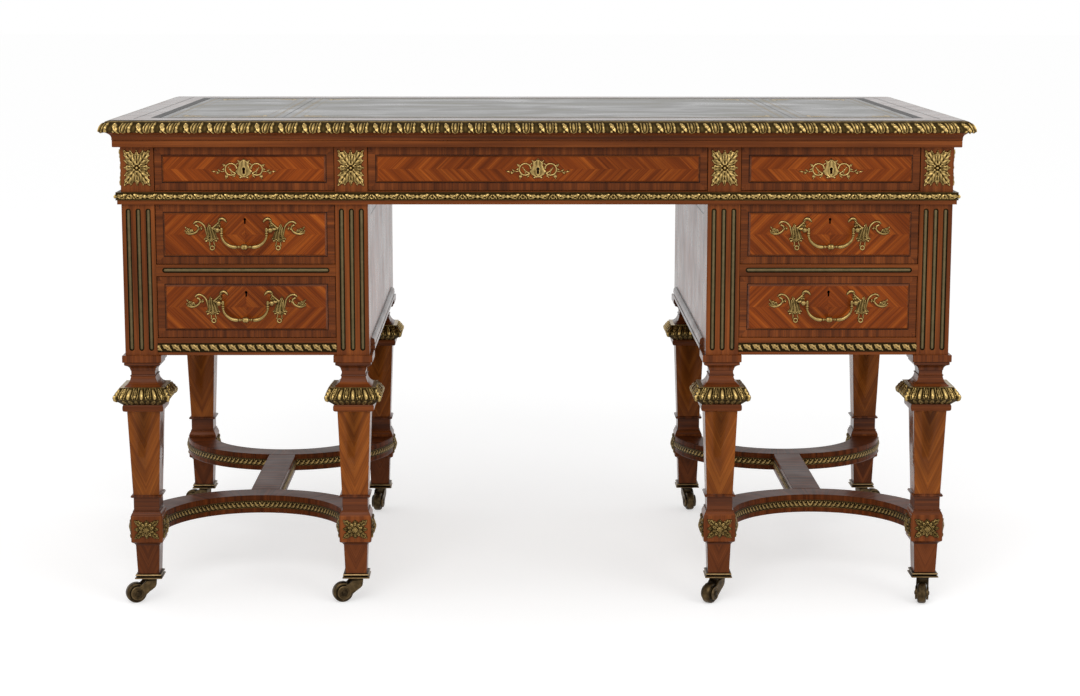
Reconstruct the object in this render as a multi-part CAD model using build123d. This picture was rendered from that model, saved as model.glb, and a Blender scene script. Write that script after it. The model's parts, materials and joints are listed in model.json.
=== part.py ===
"""Kneehole writing desk on eight tapered legs, with seven drawers, two H-shaped stretchers and casters.

Millimetres, +Z up. The origin is on the floor, at the middle of the desk's plan.
The front faces -Y, and left and right are as seen from the front.
"""

from build123d import *
import math
import os

# ---------------------------------------------------------------- plan
LEG_X_OUTER = 628.5        # outer leg axes, either side of the middle
LEG_X_INNER = 293.5        # leg axes beside the kneehole
LEG_Y = 334.5              # leg axes, front and back of the middle
POST = 52.0                # square section of the fluted posts
PANEL = 14.0               # thickness of the carcass boards
TOP_OVERHANG = 12.0        # flat top past the posts
TOP_BORDER = 68.0          # veneered border round the leather
LEATHER_SPLIT = 405.0      # joints of the three hides, either side of the middle
VENEER = 1.4               # thickness of the leather and of its border

# ---------------------------------------------------------------- heights, from the floor up
CASTER_H = 41.0
CAP_H = 8.5
FOOT_H = 47.5
ANKLE_H = 5.5
BLOCK_H = 44.0
SHOULDER_H = 8.0
LOW_NECK_H = 21.0
ASTRAGAL_H = 5.0
SHAFT_H = 137.0
BED_H = 12.0
COLLAR_H = 28.0
FLARE_H = 18.0
HIGH_NECK_H = 7.0
CAVETTO_H = 9.5
HEAD_FILLET_H = 5.0
PLINTH_H = 11.5
BASE_RAIL_H = 27.6
LOWER_OPENING_H = 98.9
MIDDLE_RAIL_H = 18.5
UPPER_OPENING_H = 95.6
FLOOR_RAIL_H = 20.9
FRIEZE_OPENING_H = 69.1
TOP_RAIL_H = 23.4
TOP_BOARD_H = 19.0

# ---------------------------------------------------------------- leg sections, square
CAP_W = 38.5
CAP_LIP_W = 44.0
FOOT_LOW_W = 34.6
FOOT_HIGH_W = 38.5
BLOCK_W = 51.0
LOW_NECK_W = 41.0
ASTRAGAL_W = 49.5
SHAFT_LOW_W = 41.5
SHAFT_HIGH_W = 52.5
BED_W = 65.0
CORE_W = 44.0              # wooden core inside the gilt collar
COLLAR_TOP_W = 66.0
COLLAR_MAX_W = 93.5
COLLAR_FOOT_W = 66.0
COLLAR_BELLY_H = 12.0      # from the collar's foot to its widest line
FLARE_W = 60.0
HIGH_NECK_W = 38.0
CAVETTO_W = 54.0
HEAD_FILLET_W = 57.0
PLINTH_W = 62.0

# ---------------------------------------------------------------- mouldings, out from the posts
EDGE_REACH = 17.7          # gadrooned edge past the flat top
EDGE_NOSE_H = 3.0          # upright nose at the foot of its slope
EDGE_UNDERCUT = 6.0
FASCIA_OUT = 10.5
FASCIA_H = 15.4
COVE_OUT = 17.0
BAND_OUT = 10.0            # gilt band at the waist
BAND_H = 13.0
BAND_SPINE_H = 5.0         # upright middle of the band
BAND_LIP = 4.0
WAIST_FILLET_H = 6.4
WAIST_FILLET_OUT = 5.5
ROPE_OUT = 5.0
ROPE_H = 14.6
ROPE_LIFT = 5.0            # rope moulding above the carcass bottom
ROPE_SPINE_H = 7.0
SIDE_MOULD_OUT = 6.0
SIDE_MOULD_H = 20.0
SIDE_MOULD_SPINE_H = 12.0

# ---------------------------------------------------------------- flutes and rosettes
FLUTE_W = 5.0
FLUTE_PITCH = 15.6
FLUTE_DEPTH = 2.5
FLUTE_LINING = 1.0
FLUTE_TOP_GAP = 7.0        # from the waist down to the flutes
FLUTE_FOOT_GAP = 7.0
RAIL_FLUTE_END = 9.5       # wood left beyond each end of a rail's flute
ROSETTE_W = 42.0
ROSETTE_H = 57.5
ROSETTE_LIFT = 2.5         # above the middle of the frieze
LEG_ROSETTE_W = 40.0
LEG_ROSETTE_H = 31.0
ROSETTE_T = 2.5
ROSETTE_BOSS_R = 6.0
ROSETTE_BOSS_H = 3.0
LEG_ROSETTE_BOSS_R = 9.0
LEG_ROSETTE_BOSS_H = 5.5
ROSETTE_LEAVES = 8
ROSETTE_NOTCH = 0.78       # how far in the notches between leaves reach, as a share of a leaf

# ---------------------------------------------------------------- stretchers
STRETCHER_H = 30.0
STRETCHER_LIFT = 10.0      # above the foot of the leg block
ARC_W = 49.0
ARC_BEHIND = 4.0           # arc centres stand this far outside the leg axes
ARC_SEGMENTS = 4           # sawn pieces in each arc
CROSSBAR_W = 48.0
STRETCHER_BAND_T = 1.8
STRETCHER_BAND_H = 14.0

# ---------------------------------------------------------------- drawers
DRAWER_SIDE_GAP = 1.0
DRAWER_TOP_GAP = 1.0
DRAWER_FOOT_GAP = 0.8
DRAWER_SIT = 0.3           # drawer sides above their runners
DRAWER_SET_BACK = 2.0      # drawer face behind the posts
FRONT_T = 20.0
FIELD_INSET = 13.5         # raised field in from the opening
FIELD_T = 4.0
FIELD_BEVEL = 2.5
DRAWER_LENGTH = 580.0      # sides, behind the front
DRAWER_SIDE_T = 10.0
DRAWER_BACK_T = 10.0
DRAWER_BOTTOM_T = 6.0
DRAWER_BOTTOM_LIFT = 6.0
DRAWER_SIDE_DROP = 6.0     # sides below the top of the opening
RUNNER_H = 10.0
RUNNER_TUCK = 14.0         # runner reaches this far under the drawer
GUIDE_H = 18.0
GUIDE_GAP = 1.5
STOP_LENGTH = 20.0
STOP_H = 8.0
STOP_GAP = 0.3
DUST_BOARD_T = 12.0

# ---------------------------------------------------------------- locks
KEYHOLE_R = 2.2
KEYHOLE_SLOT_W = 2.6
KEYHOLE_SLOT_H = 7.0
KEYHOLE_RISE = 24.0        # keyhole above the middle of a pedestal drawer's field
LOCK_W = 60.0
LOCK_PLATE_T = 1.5
LOCK_BELOW = 14.0          # lock case below the keyhole
BOLT_W = 14.0
BOLT_T = 5.6
BOLT_PLAY = 0.2
BOLT_ABOVE = 5.0           # foot of the bolt above the keyhole
BOLT_TRAVEL = 8.0
POCKET_PLAY = 1.5          # room round the thrown bolt in the rail above

# ---------------------------------------------------------------- handles
PIVOT_SPAN = 83.0          # between the middles of the two eyes
PIVOT_RISE = 8.5           # pivots above the middle of the drawer's field
EYE_W = 6.0
EYE_R = 4.5
PIN_R = 1.95
PIN_PLAY = 0.05
EYE_STAND = 14.0           # pin axis in front of the field
PLATE_T = 3.0
BAIL_R = 2.8
BAIL_COLLAR_R = 3.4
BAIL_ARM_IN = 6.2          # bail arms inside the eyes
BAIL_DROP = 26.6
BAIL_BEND_R = 8.0
KNOP_R = 5.0
KNOP_LENGTH = 8.0
KNOP_BEVEL = 1.8
PLATE_BODY_X = 10.5        # middle of a backplate's body, outside its pivot
PLATE_BODY_W = 15.0
PLATE_BODY_FOOT_W = 7.0
PLATE_BODY_H = 26.0
PENDANT_R = 4.5
SCROLL_R = 8.0
SCROLL_W = 4.5
TAIL_LENGTH = 29.0
TAIL_W = 8.0
LEAF_LENGTH = 17.0
LEAF_W = 6.0

# ---------------------------------------------------------------- escutcheons
ESC_T = 3.0
ESC_HALF_W = 11.0
ESC_HALF_H = 17.0
ESC_RING_X = 22.5
ESC_RING_R = 11.8
ESC_RING_HOLE_R = 6.8

# ---------------------------------------------------------------- casters
WHEEL_R = 16.8
WHEEL_W = 14.0
WHEEL_BEVEL = 2.5
TRAIL = 24.0               # wheel axle from the swivel axis
AXLE_R = 2.0
AXLE_PLAY = 0.05
STEM_R = 4.0
STEM_PLAY = 0.05
CROWN_R = 13.0
CROWN_H = 4.0
CAP_GAP = 0.3
CHEEK_T = 2.5
CHEEK_GAP = 0.4
CHEEK_R = 11.0             # round ends of the cheeks, about the axle
CHEEK_HEEL_Z = 24.0        # foot of the cheeks' upright backs
AXLE_KNOB_R = 3.6
AXLE_KNOB_T = 2.0
CASTER_YAW = {             # where each wheel trails to, in degrees from +X
    "front_left_outer": 205.0,
    "front_left_inner": 200.0,
    "front_right_inner": 235.0,
    "front_right_outer": 258.0,
    "rear_left_outer": 160.0,
    "rear_left_inner": 262.0,
    "rear_right_inner": 278.0,
    "rear_right_outer": 20.0,
}

# ---------------------------------------------------------------- levels worked out from the heights
Z_CAP = CASTER_H
Z_FOOT = Z_CAP + CAP_H
Z_ANKLE = Z_FOOT + FOOT_H
Z_BLOCK = Z_ANKLE + ANKLE_H
Z_SHOULDER = Z_BLOCK + BLOCK_H
Z_LOW_NECK = Z_SHOULDER + SHOULDER_H
Z_ASTRAGAL = Z_LOW_NECK + LOW_NECK_H
Z_SHAFT = Z_ASTRAGAL + ASTRAGAL_H
Z_BED = Z_SHAFT + SHAFT_H
Z_COLLAR = Z_BED + BED_H
Z_FLARE = Z_COLLAR + COLLAR_H
Z_HIGH_NECK = Z_FLARE + FLARE_H
Z_CAVETTO = Z_HIGH_NECK + HIGH_NECK_H
Z_HEAD_FILLET = Z_CAVETTO + CAVETTO_H
Z_PLINTH = Z_HEAD_FILLET + HEAD_FILLET_H
Z_CASE = Z_PLINTH + PLINTH_H
Z_LOWER = Z_CASE + BASE_RAIL_H
Z_MIDDLE_RAIL = Z_LOWER + LOWER_OPENING_H
Z_UPPER = Z_MIDDLE_RAIL + MIDDLE_RAIL_H
Z_WAIST = Z_UPPER + UPPER_OPENING_H
Z_FRIEZE = Z_WAIST + FLOOR_RAIL_H
Z_TOP_RAIL = Z_FRIEZE + FRIEZE_OPENING_H
Z_TOP = Z_TOP_RAIL + TOP_RAIL_H
HEIGHT = Z_TOP + TOP_BOARD_H

# ---------------------------------------------------------------- planes worked out from the plan
CASE_X = LEG_X_OUTER + POST / 2          # outer faces of the posts
CASE_Y = LEG_Y + POST / 2
INNER_Y = LEG_Y - POST / 2               # faces of the posts that look into the carcass
OPEN_OUTER = LEG_X_OUTER - POST / 2      # sides of the pedestal openings
OPEN_INNER = LEG_X_INNER + POST / 2
KNEE_X = LEG_X_INNER - POST / 2          # sides of the kneehole
PEDESTAL_X = (OPEN_OUTER + OPEN_INNER) / 2
SIDE_OPENING_W = OPEN_OUTER - OPEN_INNER
CENTRE_OPENING_W = 2 * KNEE_X
TOP_X = CASE_X + TOP_OVERHANG
TOP_Y = CASE_Y + TOP_OVERHANG
DRAWER_FACE_Y = -CASE_Y + DRAWER_SET_BACK
FRONT_BACK_Y = DRAWER_FACE_Y + FRONT_T
FIELD_Y = DRAWER_FACE_Y - FIELD_T
DRAWER_END_Y = FRONT_BACK_Y + DRAWER_LENGTH
PIN_Y = FIELD_Y - EYE_STAND
ARC_Y = LEG_Y + ARC_BEHIND
LEG_SPAN = (LEG_X_OUTER - LEG_X_INNER + BLOCK_W) / 2   # pedestal's middle to the far sides of its leg blocks
ARC_R_OUT = math.hypot(LEG_SPAN, ARC_BEHIND + BLOCK_W / 2)     # the arcs meet the back corners of the blocks
ARC_R_IN = ARC_R_OUT - ARC_W
Z_STRETCHER = Z_BLOCK + STRETCHER_LIFT

SIDES = {"left": -1, "right": 1}
FACINGS = {"front": (0, -1), "back": (0, 1), "left": (-1, 0), "right": (1, 0)}
LEGS = {
    f"{end}_{side}_{place}": (sign * leg_x, y_sign * LEG_Y)
    for end, y_sign in (("front", -1), ("rear", 1))
    for side, sign in SIDES.items()
    for place, leg_x in (("outer", LEG_X_OUTER), ("inner", LEG_X_INNER))
}
# Each drawer: middle in x, width of its opening, and the bottom and top of the opening.
DRAWERS = {"frieze_centre": (0.0, CENTRE_OPENING_W, Z_FRIEZE, Z_TOP_RAIL)}
for side_name, side_sign in SIDES.items():
    side_x = side_sign * PEDESTAL_X
    DRAWERS[f"frieze_{side_name}"] = (side_x, SIDE_OPENING_W, Z_FRIEZE, Z_TOP_RAIL)
    DRAWERS[f"upper_{side_name}"] = (side_x, SIDE_OPENING_W, Z_UPPER, Z_WAIST)
    DRAWERS[f"lower_{side_name}"] = (side_x, SIDE_OPENING_W, Z_LOWER, Z_MIDDLE_RAIL)


# ---------------------------------------------------------------- helpers
def save(name, shapes):
    """Write every solid of the given shapes as one node."""
    solids = [solid for shape in shapes for solid in shape.solids()]
    export_step(Compound(children=solids, label=name), f"parts/{name}.step")


def board(x, y, z):
    """A rectangular board from pairs of limits along each axis."""
    centre = Pos(sum(x) / 2, sum(y) / 2, sum(z) / 2)
    return centre * Box(x[1] - x[0], y[1] - y[0], z[1] - z[0])


def frustum(axis, z, widths):
    """A square frustum on a vertical axis, from its low to its high width."""
    low, high = widths
    inset = (low - high) / 2
    far = low - inset
    seat = (Align.CENTER, Align.MIN, Align.CENTER)
    wedge = Wedge(low, z[1] - z[0], low, inset, inset, far, far, align=seat)
    return Pos(axis[0], axis[1], z[0]) * Rot(90, 0, 0) * wedge


def stack(axis, levels):
    """Square sections piled up: each entry is the height at its foot and its low and high widths."""
    pieces = []
    for (foot, widths), (top, _) in zip(levels, levels[1:]):
        pieces.append(frustum(axis, (foot, top), widths))
    return pieces


def mitred_length(profile, half_span, reach):
    """A moulding along the front, its ends cut at 45 degrees.

    The profile is a list of (out, z) corners, with out measured from the plane at reach.
    """
    outs = [out for out, _ in profile]
    near, far = min(outs), max(outs)
    section = Plane.YZ * make_face(Polyline([(-reach - out, z) for out, z in profile], close=True))
    bar = extrude(section, amount=half_span + far, both=True)
    corners = [
        (-half_span - near, -reach - near),
        (half_span + near, -reach - near),
        (half_span + far, -reach - far),
        (-half_span - far, -reach - far),
    ]
    levels = [z for _, z in profile]
    plan = make_face(Polyline(corners, close=True))
    mitre = Pos(0, 0, min(levels)) * extrude(plan, amount=max(levels) - min(levels))
    return bar & mitre


def mitred_frame(profile, half_x, half_y, centre=(0, 0)):
    """Four mitred lengths round a rectangle."""
    long_length = mitred_length(profile, half_x, half_y)
    short_length = mitred_length(profile, half_y, half_x)
    turns = ((0, long_length), (90, short_length), (180, long_length), (270, short_length))
    return [Pos(*centre, 0) * Rot(0, 0, turn) * length for turn, length in turns]


def face_plane(x, y, z, facing):
    """A plane on an upright face, with its own y upwards and its normal outwards."""
    out_x, out_y = facing
    return Plane(origin=(x, y, z), x_dir=(-out_y, out_x, 0), z_dir=(out_x, out_y, 0))


def half_round(out, low, high, spine):
    """Corners of a moulding that bulges to its upright spine."""
    shoulder = (high - low - spine) / 2
    return [(0, low), (out - shoulder / 2, low), (out, low + shoulder), (out, high - shoulder),
            (out - shoulder / 2, high), (0, high)]


# ---------------------------------------------------------------- top
def top_board():
    """Ground board with a mitred border of veneer round the leather's recess."""
    ground = board((-TOP_X, TOP_X), (-TOP_Y, TOP_Y), (Z_TOP, HEIGHT - VENEER))
    low, high = HEIGHT - VENEER, HEIGHT
    border = mitred_frame(
        [(0, low), (TOP_BORDER, low), (TOP_BORDER, high), (0, high)], TOP_X - TOP_BORDER, TOP_Y - TOP_BORDER
    )
    return [ground, *border]


def writing_leather():
    """Three hides side by side, flush with the border."""
    edges = (-TOP_X + TOP_BORDER, -LEATHER_SPLIT, LEATHER_SPLIT, TOP_X - TOP_BORDER)
    depth = TOP_Y - TOP_BORDER
    return [board(span, (-depth, depth), (HEIGHT - VENEER, HEIGHT)) for span in zip(edges, edges[1:])]


def top_edge():
    """Gadrooned gilt edge: a bulging slope from the flat top down to an upright nose."""
    nose = Z_TOP + EDGE_NOSE_H
    slope = HEIGHT - nose
    profile = [
        (0, Z_TOP),
        (EDGE_REACH - EDGE_UNDERCUT, Z_TOP),
        (EDGE_REACH, Z_TOP + EDGE_NOSE_H / 3),
        (EDGE_REACH, nose),
        (EDGE_REACH * 0.87, nose + slope * 0.55),
        (EDGE_REACH * 0.55, nose + slope * 0.88),
        (EDGE_REACH * 0.2, HEIGHT),
        (0, HEIGHT),
    ]
    return mitred_frame(profile, TOP_X, TOP_Y)


def cornice():
    """Fascia round the top of the frieze, and the cove between it and the top."""
    shelf = Z_TOP_RAIL + FASCIA_H
    fascia = [(0, Z_TOP_RAIL), (FASCIA_OUT, Z_TOP_RAIL), (FASCIA_OUT, shelf), (0, shelf)]
    cove = [(0, shelf), (FASCIA_OUT, shelf), (COVE_OUT, Z_TOP), (0, Z_TOP)]
    return mitred_frame(fascia, CASE_X, CASE_Y) + mitred_frame(cove, CASE_X, CASE_Y)


# ---------------------------------------------------------------- carcass
def post_faces(x, y):
    """The outward faces of the post on this axis: front or back, and the side of an outer post."""
    faces = [(0, math.copysign(1, y))]
    if abs(x) > LEG_X_INNER:
        faces.append((math.copysign(1, x), 0))
    return faces


def flute_outline():
    """Round-ended upright flute, centred on the fluted stretch of a post."""
    length = Z_WAIST - FLUTE_TOP_GAP - Z_CASE - FLUTE_FOOT_GAP
    return SlotOverall(length, FLUTE_W, rotation=90)


def post_flutes(x, y):
    """Planes of the three flutes on each outward face of a post."""
    middle = (Z_CASE + FLUTE_FOOT_GAP + Z_WAIST - FLUTE_TOP_GAP) / 2
    planes = []
    for facing in post_faces(x, y):
        face = face_plane(x + facing[0] * POST / 2, y + facing[1] * POST / 2, middle, facing)
        planes += [face * Pos(step * FLUTE_PITCH, 0, 0) for step in (-1, 0, 1)]
    return planes


def posts():
    """Eight square posts from the legs to the top, fluted below the waist."""
    pieces = []
    for x, y in LEGS.values():
        post = board((x - POST / 2, x + POST / 2), (y - POST / 2, y + POST / 2), (Z_CASE, Z_TOP))
        for place in post_flutes(x, y):
            post -= place * extrude(flute_outline(), amount=-FLUTE_DEPTH)
        pieces.append(post)
    return pieces


def rail_flute(opening_x):
    """Plane and outline of the flute along a pedestal's middle rail."""
    plane = face_plane(opening_x, -CASE_Y, Z_MIDDLE_RAIL + MIDDLE_RAIL_H / 2, FACINGS["front"])
    return plane, SlotOverall(SIDE_OPENING_W - 2 * RAIL_FLUTE_END, FLUTE_W)


def brass_flutes():
    """Brass strips let into the bottoms of all the flutes."""
    strips = []
    for x, y in LEGS.values():
        for place in post_flutes(x, y):
            strips.append(place * Pos(0, 0, -FLUTE_DEPTH) * extrude(flute_outline(), amount=FLUTE_LINING))
    for sign in SIDES.values():
        plane, outline = rail_flute(sign * PEDESTAL_X)
        strips.append(plane * Pos(0, 0, -FLUTE_DEPTH) * extrude(outline, amount=FLUTE_LINING))
    return strips


def bolt_pocket(x, z):
    """Cutter for the mortise that a lock's bolt shoots up into."""
    front = FRONT_BACK_Y + LOCK_PLATE_T - POCKET_PLAY
    back = FRONT_BACK_Y + LOCK_PLATE_T + BOLT_T + 2 * BOLT_PLAY + POCKET_PLAY
    half = BOLT_W / 2 + POCKET_PLAY
    return board((x - half, x + half), (front, back), (z, z + BOLT_TRAVEL + POCKET_PLAY))


def front_rail(x, width, z):
    """A rail between two posts."""
    return board((x - width / 2, x + width / 2), (-CASE_Y, -INNER_Y), z)


def frieze_boards():
    """Rails, dust boards, side, back and dividing boards of the frieze, and the fillet under its band."""
    pieces = []
    for x, width, low, high in (DRAWERS[name] for name in DRAWERS if name.startswith("frieze")):
        floor_rail = front_rail(x, width, (Z_WAIST, Z_FRIEZE))
        if x:
            floor_rail -= bolt_pocket(x, Z_WAIST)
        top_rail = front_rail(x, width, (Z_TOP_RAIL, Z_TOP)) - bolt_pocket(x, Z_TOP_RAIL)
        back = board((x - width / 2, x + width / 2), (CASE_Y - PANEL, CASE_Y), (Z_WAIST, Z_TOP))
        pieces += [floor_rail, top_rail, back]
    dust = (Z_FRIEZE - DUST_BOARD_T, Z_FRIEZE)
    pieces.append(board((-CASE_X + PANEL, CASE_X - PANEL), (-INNER_Y, INNER_Y), dust))
    for sign in SIDES.values():
        outer = sorted((sign * (CASE_X - PANEL), sign * CASE_X))
        pieces.append(board(outer, (-INNER_Y, INNER_Y), (Z_WAIST, Z_TOP)))
        middle = sign * LEG_X_INNER
        divider = (middle - PANEL / 2, middle + PANEL / 2)
        pieces.append(board(divider, (-INNER_Y, INNER_Y), (Z_FRIEZE, Z_TOP)))
    fillet_top = Z_WAIST + WAIST_FILLET_H
    fillet = [(0, Z_WAIST), (WAIST_FILLET_OUT, Z_WAIST), (WAIST_FILLET_OUT, fillet_top), (0, fillet_top)]
    return pieces + mitred_frame(fillet, CASE_X, CASE_Y)


def waist_band():
    """Gilt band round the whole desk between frieze and pedestals."""
    low = Z_WAIST + WAIST_FILLET_H
    shoulder = low + (BAND_H - BAND_SPINE_H) / 2
    profile = [
        (0, low),
        (BAND_OUT - BAND_LIP, low),
        (BAND_OUT, shoulder),
        (BAND_OUT, shoulder + BAND_SPINE_H),
        (BAND_OUT - BAND_LIP, low + BAND_H),
        (0, low + BAND_H),
    ]
    return mitred_frame(profile, CASE_X, CASE_Y)


def pedestal_panels():
    """Side panels, back panel and bottom board of both pedestals."""
    pieces = []
    for sign in SIDES.values():
        for face, inward in ((CASE_X, -PANEL), (KNEE_X, PANEL)):
            x = sorted((sign * face, sign * (face + inward)))
            pieces.append(board(x, (-INNER_Y, INNER_Y), (Z_CASE, Z_WAIST)))
        back = sorted((sign * OPEN_INNER, sign * OPEN_OUTER))
        pieces.append(board(back, (CASE_Y - PANEL, CASE_Y), (Z_CASE, Z_WAIST)))
        bottom = sorted((sign * (KNEE_X + PANEL), sign * (CASE_X - PANEL)))
        pieces.append(board(bottom, (-INNER_Y, INNER_Y), (Z_CASE, Z_CASE + DUST_BOARD_T)))
    return pieces


def slides(x, half_width, walls, low, ledge):
    """Runner, guide and stop on each side of one drawer.

    Walls are the carcass faces that the left and right runners are fixed to, and ledge is the runner's foot.
    """
    pieces = []
    drawer_side = half_width - DRAWER_SIDE_GAP
    for sign, wall in zip((-1, 1), walls):
        edge = x + sign * drawer_side
        runner = sorted((edge - sign * RUNNER_TUCK, wall))
        pieces.append(board(runner, (-INNER_Y, INNER_Y), (ledge, low)))
        guide = sorted((edge + sign * GUIDE_GAP, wall))
        pieces.append(board(guide, (-INNER_Y, INNER_Y), (low, low + GUIDE_H)))
        stop = sorted((edge, edge - sign * RUNNER_TUCK))
        stop_y = (DRAWER_END_Y + STOP_GAP, DRAWER_END_Y + STOP_GAP + STOP_LENGTH)
        pieces.append(board(stop, stop_y, (low, low + STOP_H)))
    return pieces


def drawer_rails():
    """Front rails of the pedestals, and the runners, guides and stops of all the drawers."""
    pieces = []
    for name, (x, width, low, high) in DRAWERS.items():
        if name.startswith("upper"):
            rail = front_rail(x, width, (Z_MIDDLE_RAIL, Z_UPPER)) - bolt_pocket(x, Z_MIDDLE_RAIL)
            plane, outline = rail_flute(x)
            pieces.append(rail - plane * extrude(outline, amount=-FLUTE_DEPTH))
            ledge = low - RUNNER_H
        elif name.startswith("lower"):
            pieces.append(front_rail(x, width, (Z_CASE, Z_LOWER)))
            ledge = Z_CASE + DUST_BOARD_T
        if name.startswith("frieze"):
            inner = LEG_X_INNER + PANEL / 2
            walls = (-LEG_X_INNER + PANEL / 2, LEG_X_INNER - PANEL / 2) if not x else (inner, CASE_X - PANEL)
            pieces += frieze_guides(x, width / 2, walls if x >= 0 else (-CASE_X + PANEL, -inner))
        else:
            walls = (KNEE_X + PANEL, CASE_X - PANEL) if x > 0 else (-CASE_X + PANEL, -KNEE_X - PANEL)
            pieces += slides(x, width / 2, walls, low, ledge)
    return pieces


def frieze_guides(x, half_width, walls):
    """Guides and stops of a frieze drawer, which slides on the dust board itself."""
    pieces = []
    drawer_side = half_width - DRAWER_SIDE_GAP
    for sign, wall in zip((-1, 1), walls):
        edge = x + sign * drawer_side
        guide = sorted((edge + sign * GUIDE_GAP, wall))
        pieces.append(board(guide, (-INNER_Y, INNER_Y), (Z_FRIEZE, Z_FRIEZE + GUIDE_H)))
        stop = sorted((edge, edge - sign * RUNNER_TUCK))
        stop_y = (DRAWER_END_Y + STOP_GAP, DRAWER_END_Y + STOP_GAP + STOP_LENGTH)
        pieces.append(board(stop, stop_y, (Z_FRIEZE, Z_FRIEZE + STOP_H)))
    return pieces


def base_rope():
    """Gilt rope moulding along the foot of each pedestal, front and back, between the posts."""
    low = Z_CASE + ROPE_LIFT
    profile = half_round(ROPE_OUT, low, low + ROPE_H, ROPE_SPINE_H)
    pieces = []
    section = Plane.YZ * make_face(Polyline([(-CASE_Y - out, z) for out, z in profile], close=True))
    length = extrude(section, amount=SIDE_OPENING_W / 2, both=True)
    for sign in SIDES.values():
        for turn in (0, 180):
            pieces.append(Rot(0, 0, turn) * Pos(sign * PEDESTAL_X, 0, 0) * length)
    return pieces


def side_mouldings():
    """Plain moulding along the foot of each pedestal side, between the posts."""
    profile = half_round(SIDE_MOULD_OUT, Z_CASE, Z_CASE + SIDE_MOULD_H, SIDE_MOULD_SPINE_H)
    pieces = []
    for face, out in ((CASE_X, 1), (KNEE_X, -1)):
        corners = [(face + out * reach, z) for reach, z in profile]
        section = Plane.XZ * make_face(Polyline(corners, close=True))
        length = extrude(section, amount=INNER_Y, both=True)
        pieces += [length, Rot(0, 0, 180) * length]
    return pieces


def rosette(plane, size, boss):
    """A leafy plaque of some width and height with a boss of some radius and height, standing on a face."""
    corners = []
    for step in range(2 * ROSETTE_LEAVES):
        turn = math.pi * step / ROSETTE_LEAVES
        reach = 1 if step % 2 == 0 else ROSETTE_NOTCH
        corners.append((reach * size[0] / 2 * math.cos(turn), reach * size[1] / 2 * math.sin(turn)))
    plate = extrude(make_face(Polyline(corners, close=True)), amount=ROSETTE_T)
    knob = Pos(0, 0, ROSETTE_T) * extrude(Circle(boss[0]), amount=boss[1])
    return plane * (plate + knob)


def rosettes():
    """Plaques on the frieze posts and on the three free faces of each leg block."""
    pieces = []
    frieze_middle = (Z_WAIST + WAIST_FILLET_H + BAND_H + Z_TOP_RAIL) / 2 + ROSETTE_LIFT
    block_middle = Z_BLOCK + BLOCK_H / 2
    leg_size = (LEG_ROSETTE_W, LEG_ROSETTE_H)
    leg_boss = (LEG_ROSETTE_BOSS_R, LEG_ROSETTE_BOSS_H)
    for x, y in LEGS.values():
        for facing in post_faces(x, y):
            plane = face_plane(x + facing[0] * POST / 2, y + facing[1] * POST / 2, frieze_middle, facing)
            pieces.append(rosette(plane, (ROSETTE_W, ROSETTE_H), (ROSETTE_BOSS_R, ROSETTE_BOSS_H)))
        for facing in ((0, math.copysign(1, y)), (-1, 0), (1, 0)):
            half = BLOCK_W / 2
            plane = face_plane(x + facing[0] * half, y + facing[1] * half, block_middle, facing)
            pieces.append(rosette(plane, leg_size, leg_boss))
    return pieces


# ---------------------------------------------------------------- legs
def leg_heads():
    """The plinth, fillet, cavetto, neck and flare between each post and its collar."""
    levels = [
        (Z_FLARE, (FLARE_W, HIGH_NECK_W)),
        (Z_HIGH_NECK, (HIGH_NECK_W, HIGH_NECK_W)),
        (Z_CAVETTO, (HIGH_NECK_W, CAVETTO_W)),
        (Z_HEAD_FILLET, (HEAD_FILLET_W, HEAD_FILLET_W)),
        (Z_PLINTH, (PLINTH_W, PLINTH_W)),
        (Z_CASE, None),
    ]
    return [piece for axis in LEGS.values() for piece in stack(axis, levels)]


def leg_collars():
    """Gilt collars, each of four mitred castings round the leg's core."""
    core = CORE_W / 2
    belly = Z_COLLAR + COLLAR_BELLY_H
    profile = [
        (0, Z_COLLAR), (COLLAR_FOOT_W / 2 - core, Z_COLLAR), (COLLAR_MAX_W / 2 - core, belly),
        (COLLAR_TOP_W / 2 - core, Z_FLARE), (0, Z_FLARE),
    ]
    return [piece for axis in LEGS.values() for piece in mitred_frame(profile, core, core, axis)]


def leg_shafts():
    """Everything wooden below the collars, and the core inside them."""
    levels = [
        (Z_FOOT, (FOOT_LOW_W, FOOT_HIGH_W)),
        (Z_ANKLE, (FOOT_HIGH_W, BLOCK_W)),
        (Z_BLOCK, (BLOCK_W, BLOCK_W)),
        (Z_SHOULDER, (BLOCK_W, LOW_NECK_W)),
        (Z_LOW_NECK, (LOW_NECK_W, LOW_NECK_W)),
        (Z_ASTRAGAL, (ASTRAGAL_W, ASTRAGAL_W)),
        (Z_SHAFT, (SHAFT_LOW_W, SHAFT_HIGH_W)),
        (Z_BED, (BED_W, BED_W)),
        (Z_COLLAR, (CORE_W, CORE_W)),
        (Z_FLARE, None),
    ]
    return [piece for axis in LEGS.values() for piece in stack(axis, levels)]


def caster_caps():
    """Brass caps under the feet, bored for the caster stems."""
    lip = Z_CAP + CAP_H / 2
    pieces = []
    for x, y in LEGS.values():
        bore = Pos(x, y, Z_CAP) * extrude(Circle(STEM_R + STEM_PLAY), amount=CAP_H)
        pieces.append(frustum((x, y), (lip, Z_FOOT), (CAP_W, CAP_W)) - bore)
        pieces.append(frustum((x, y), (Z_CAP, lip), (CAP_LIP_W, CAP_W)) - bore)
    return pieces


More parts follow.
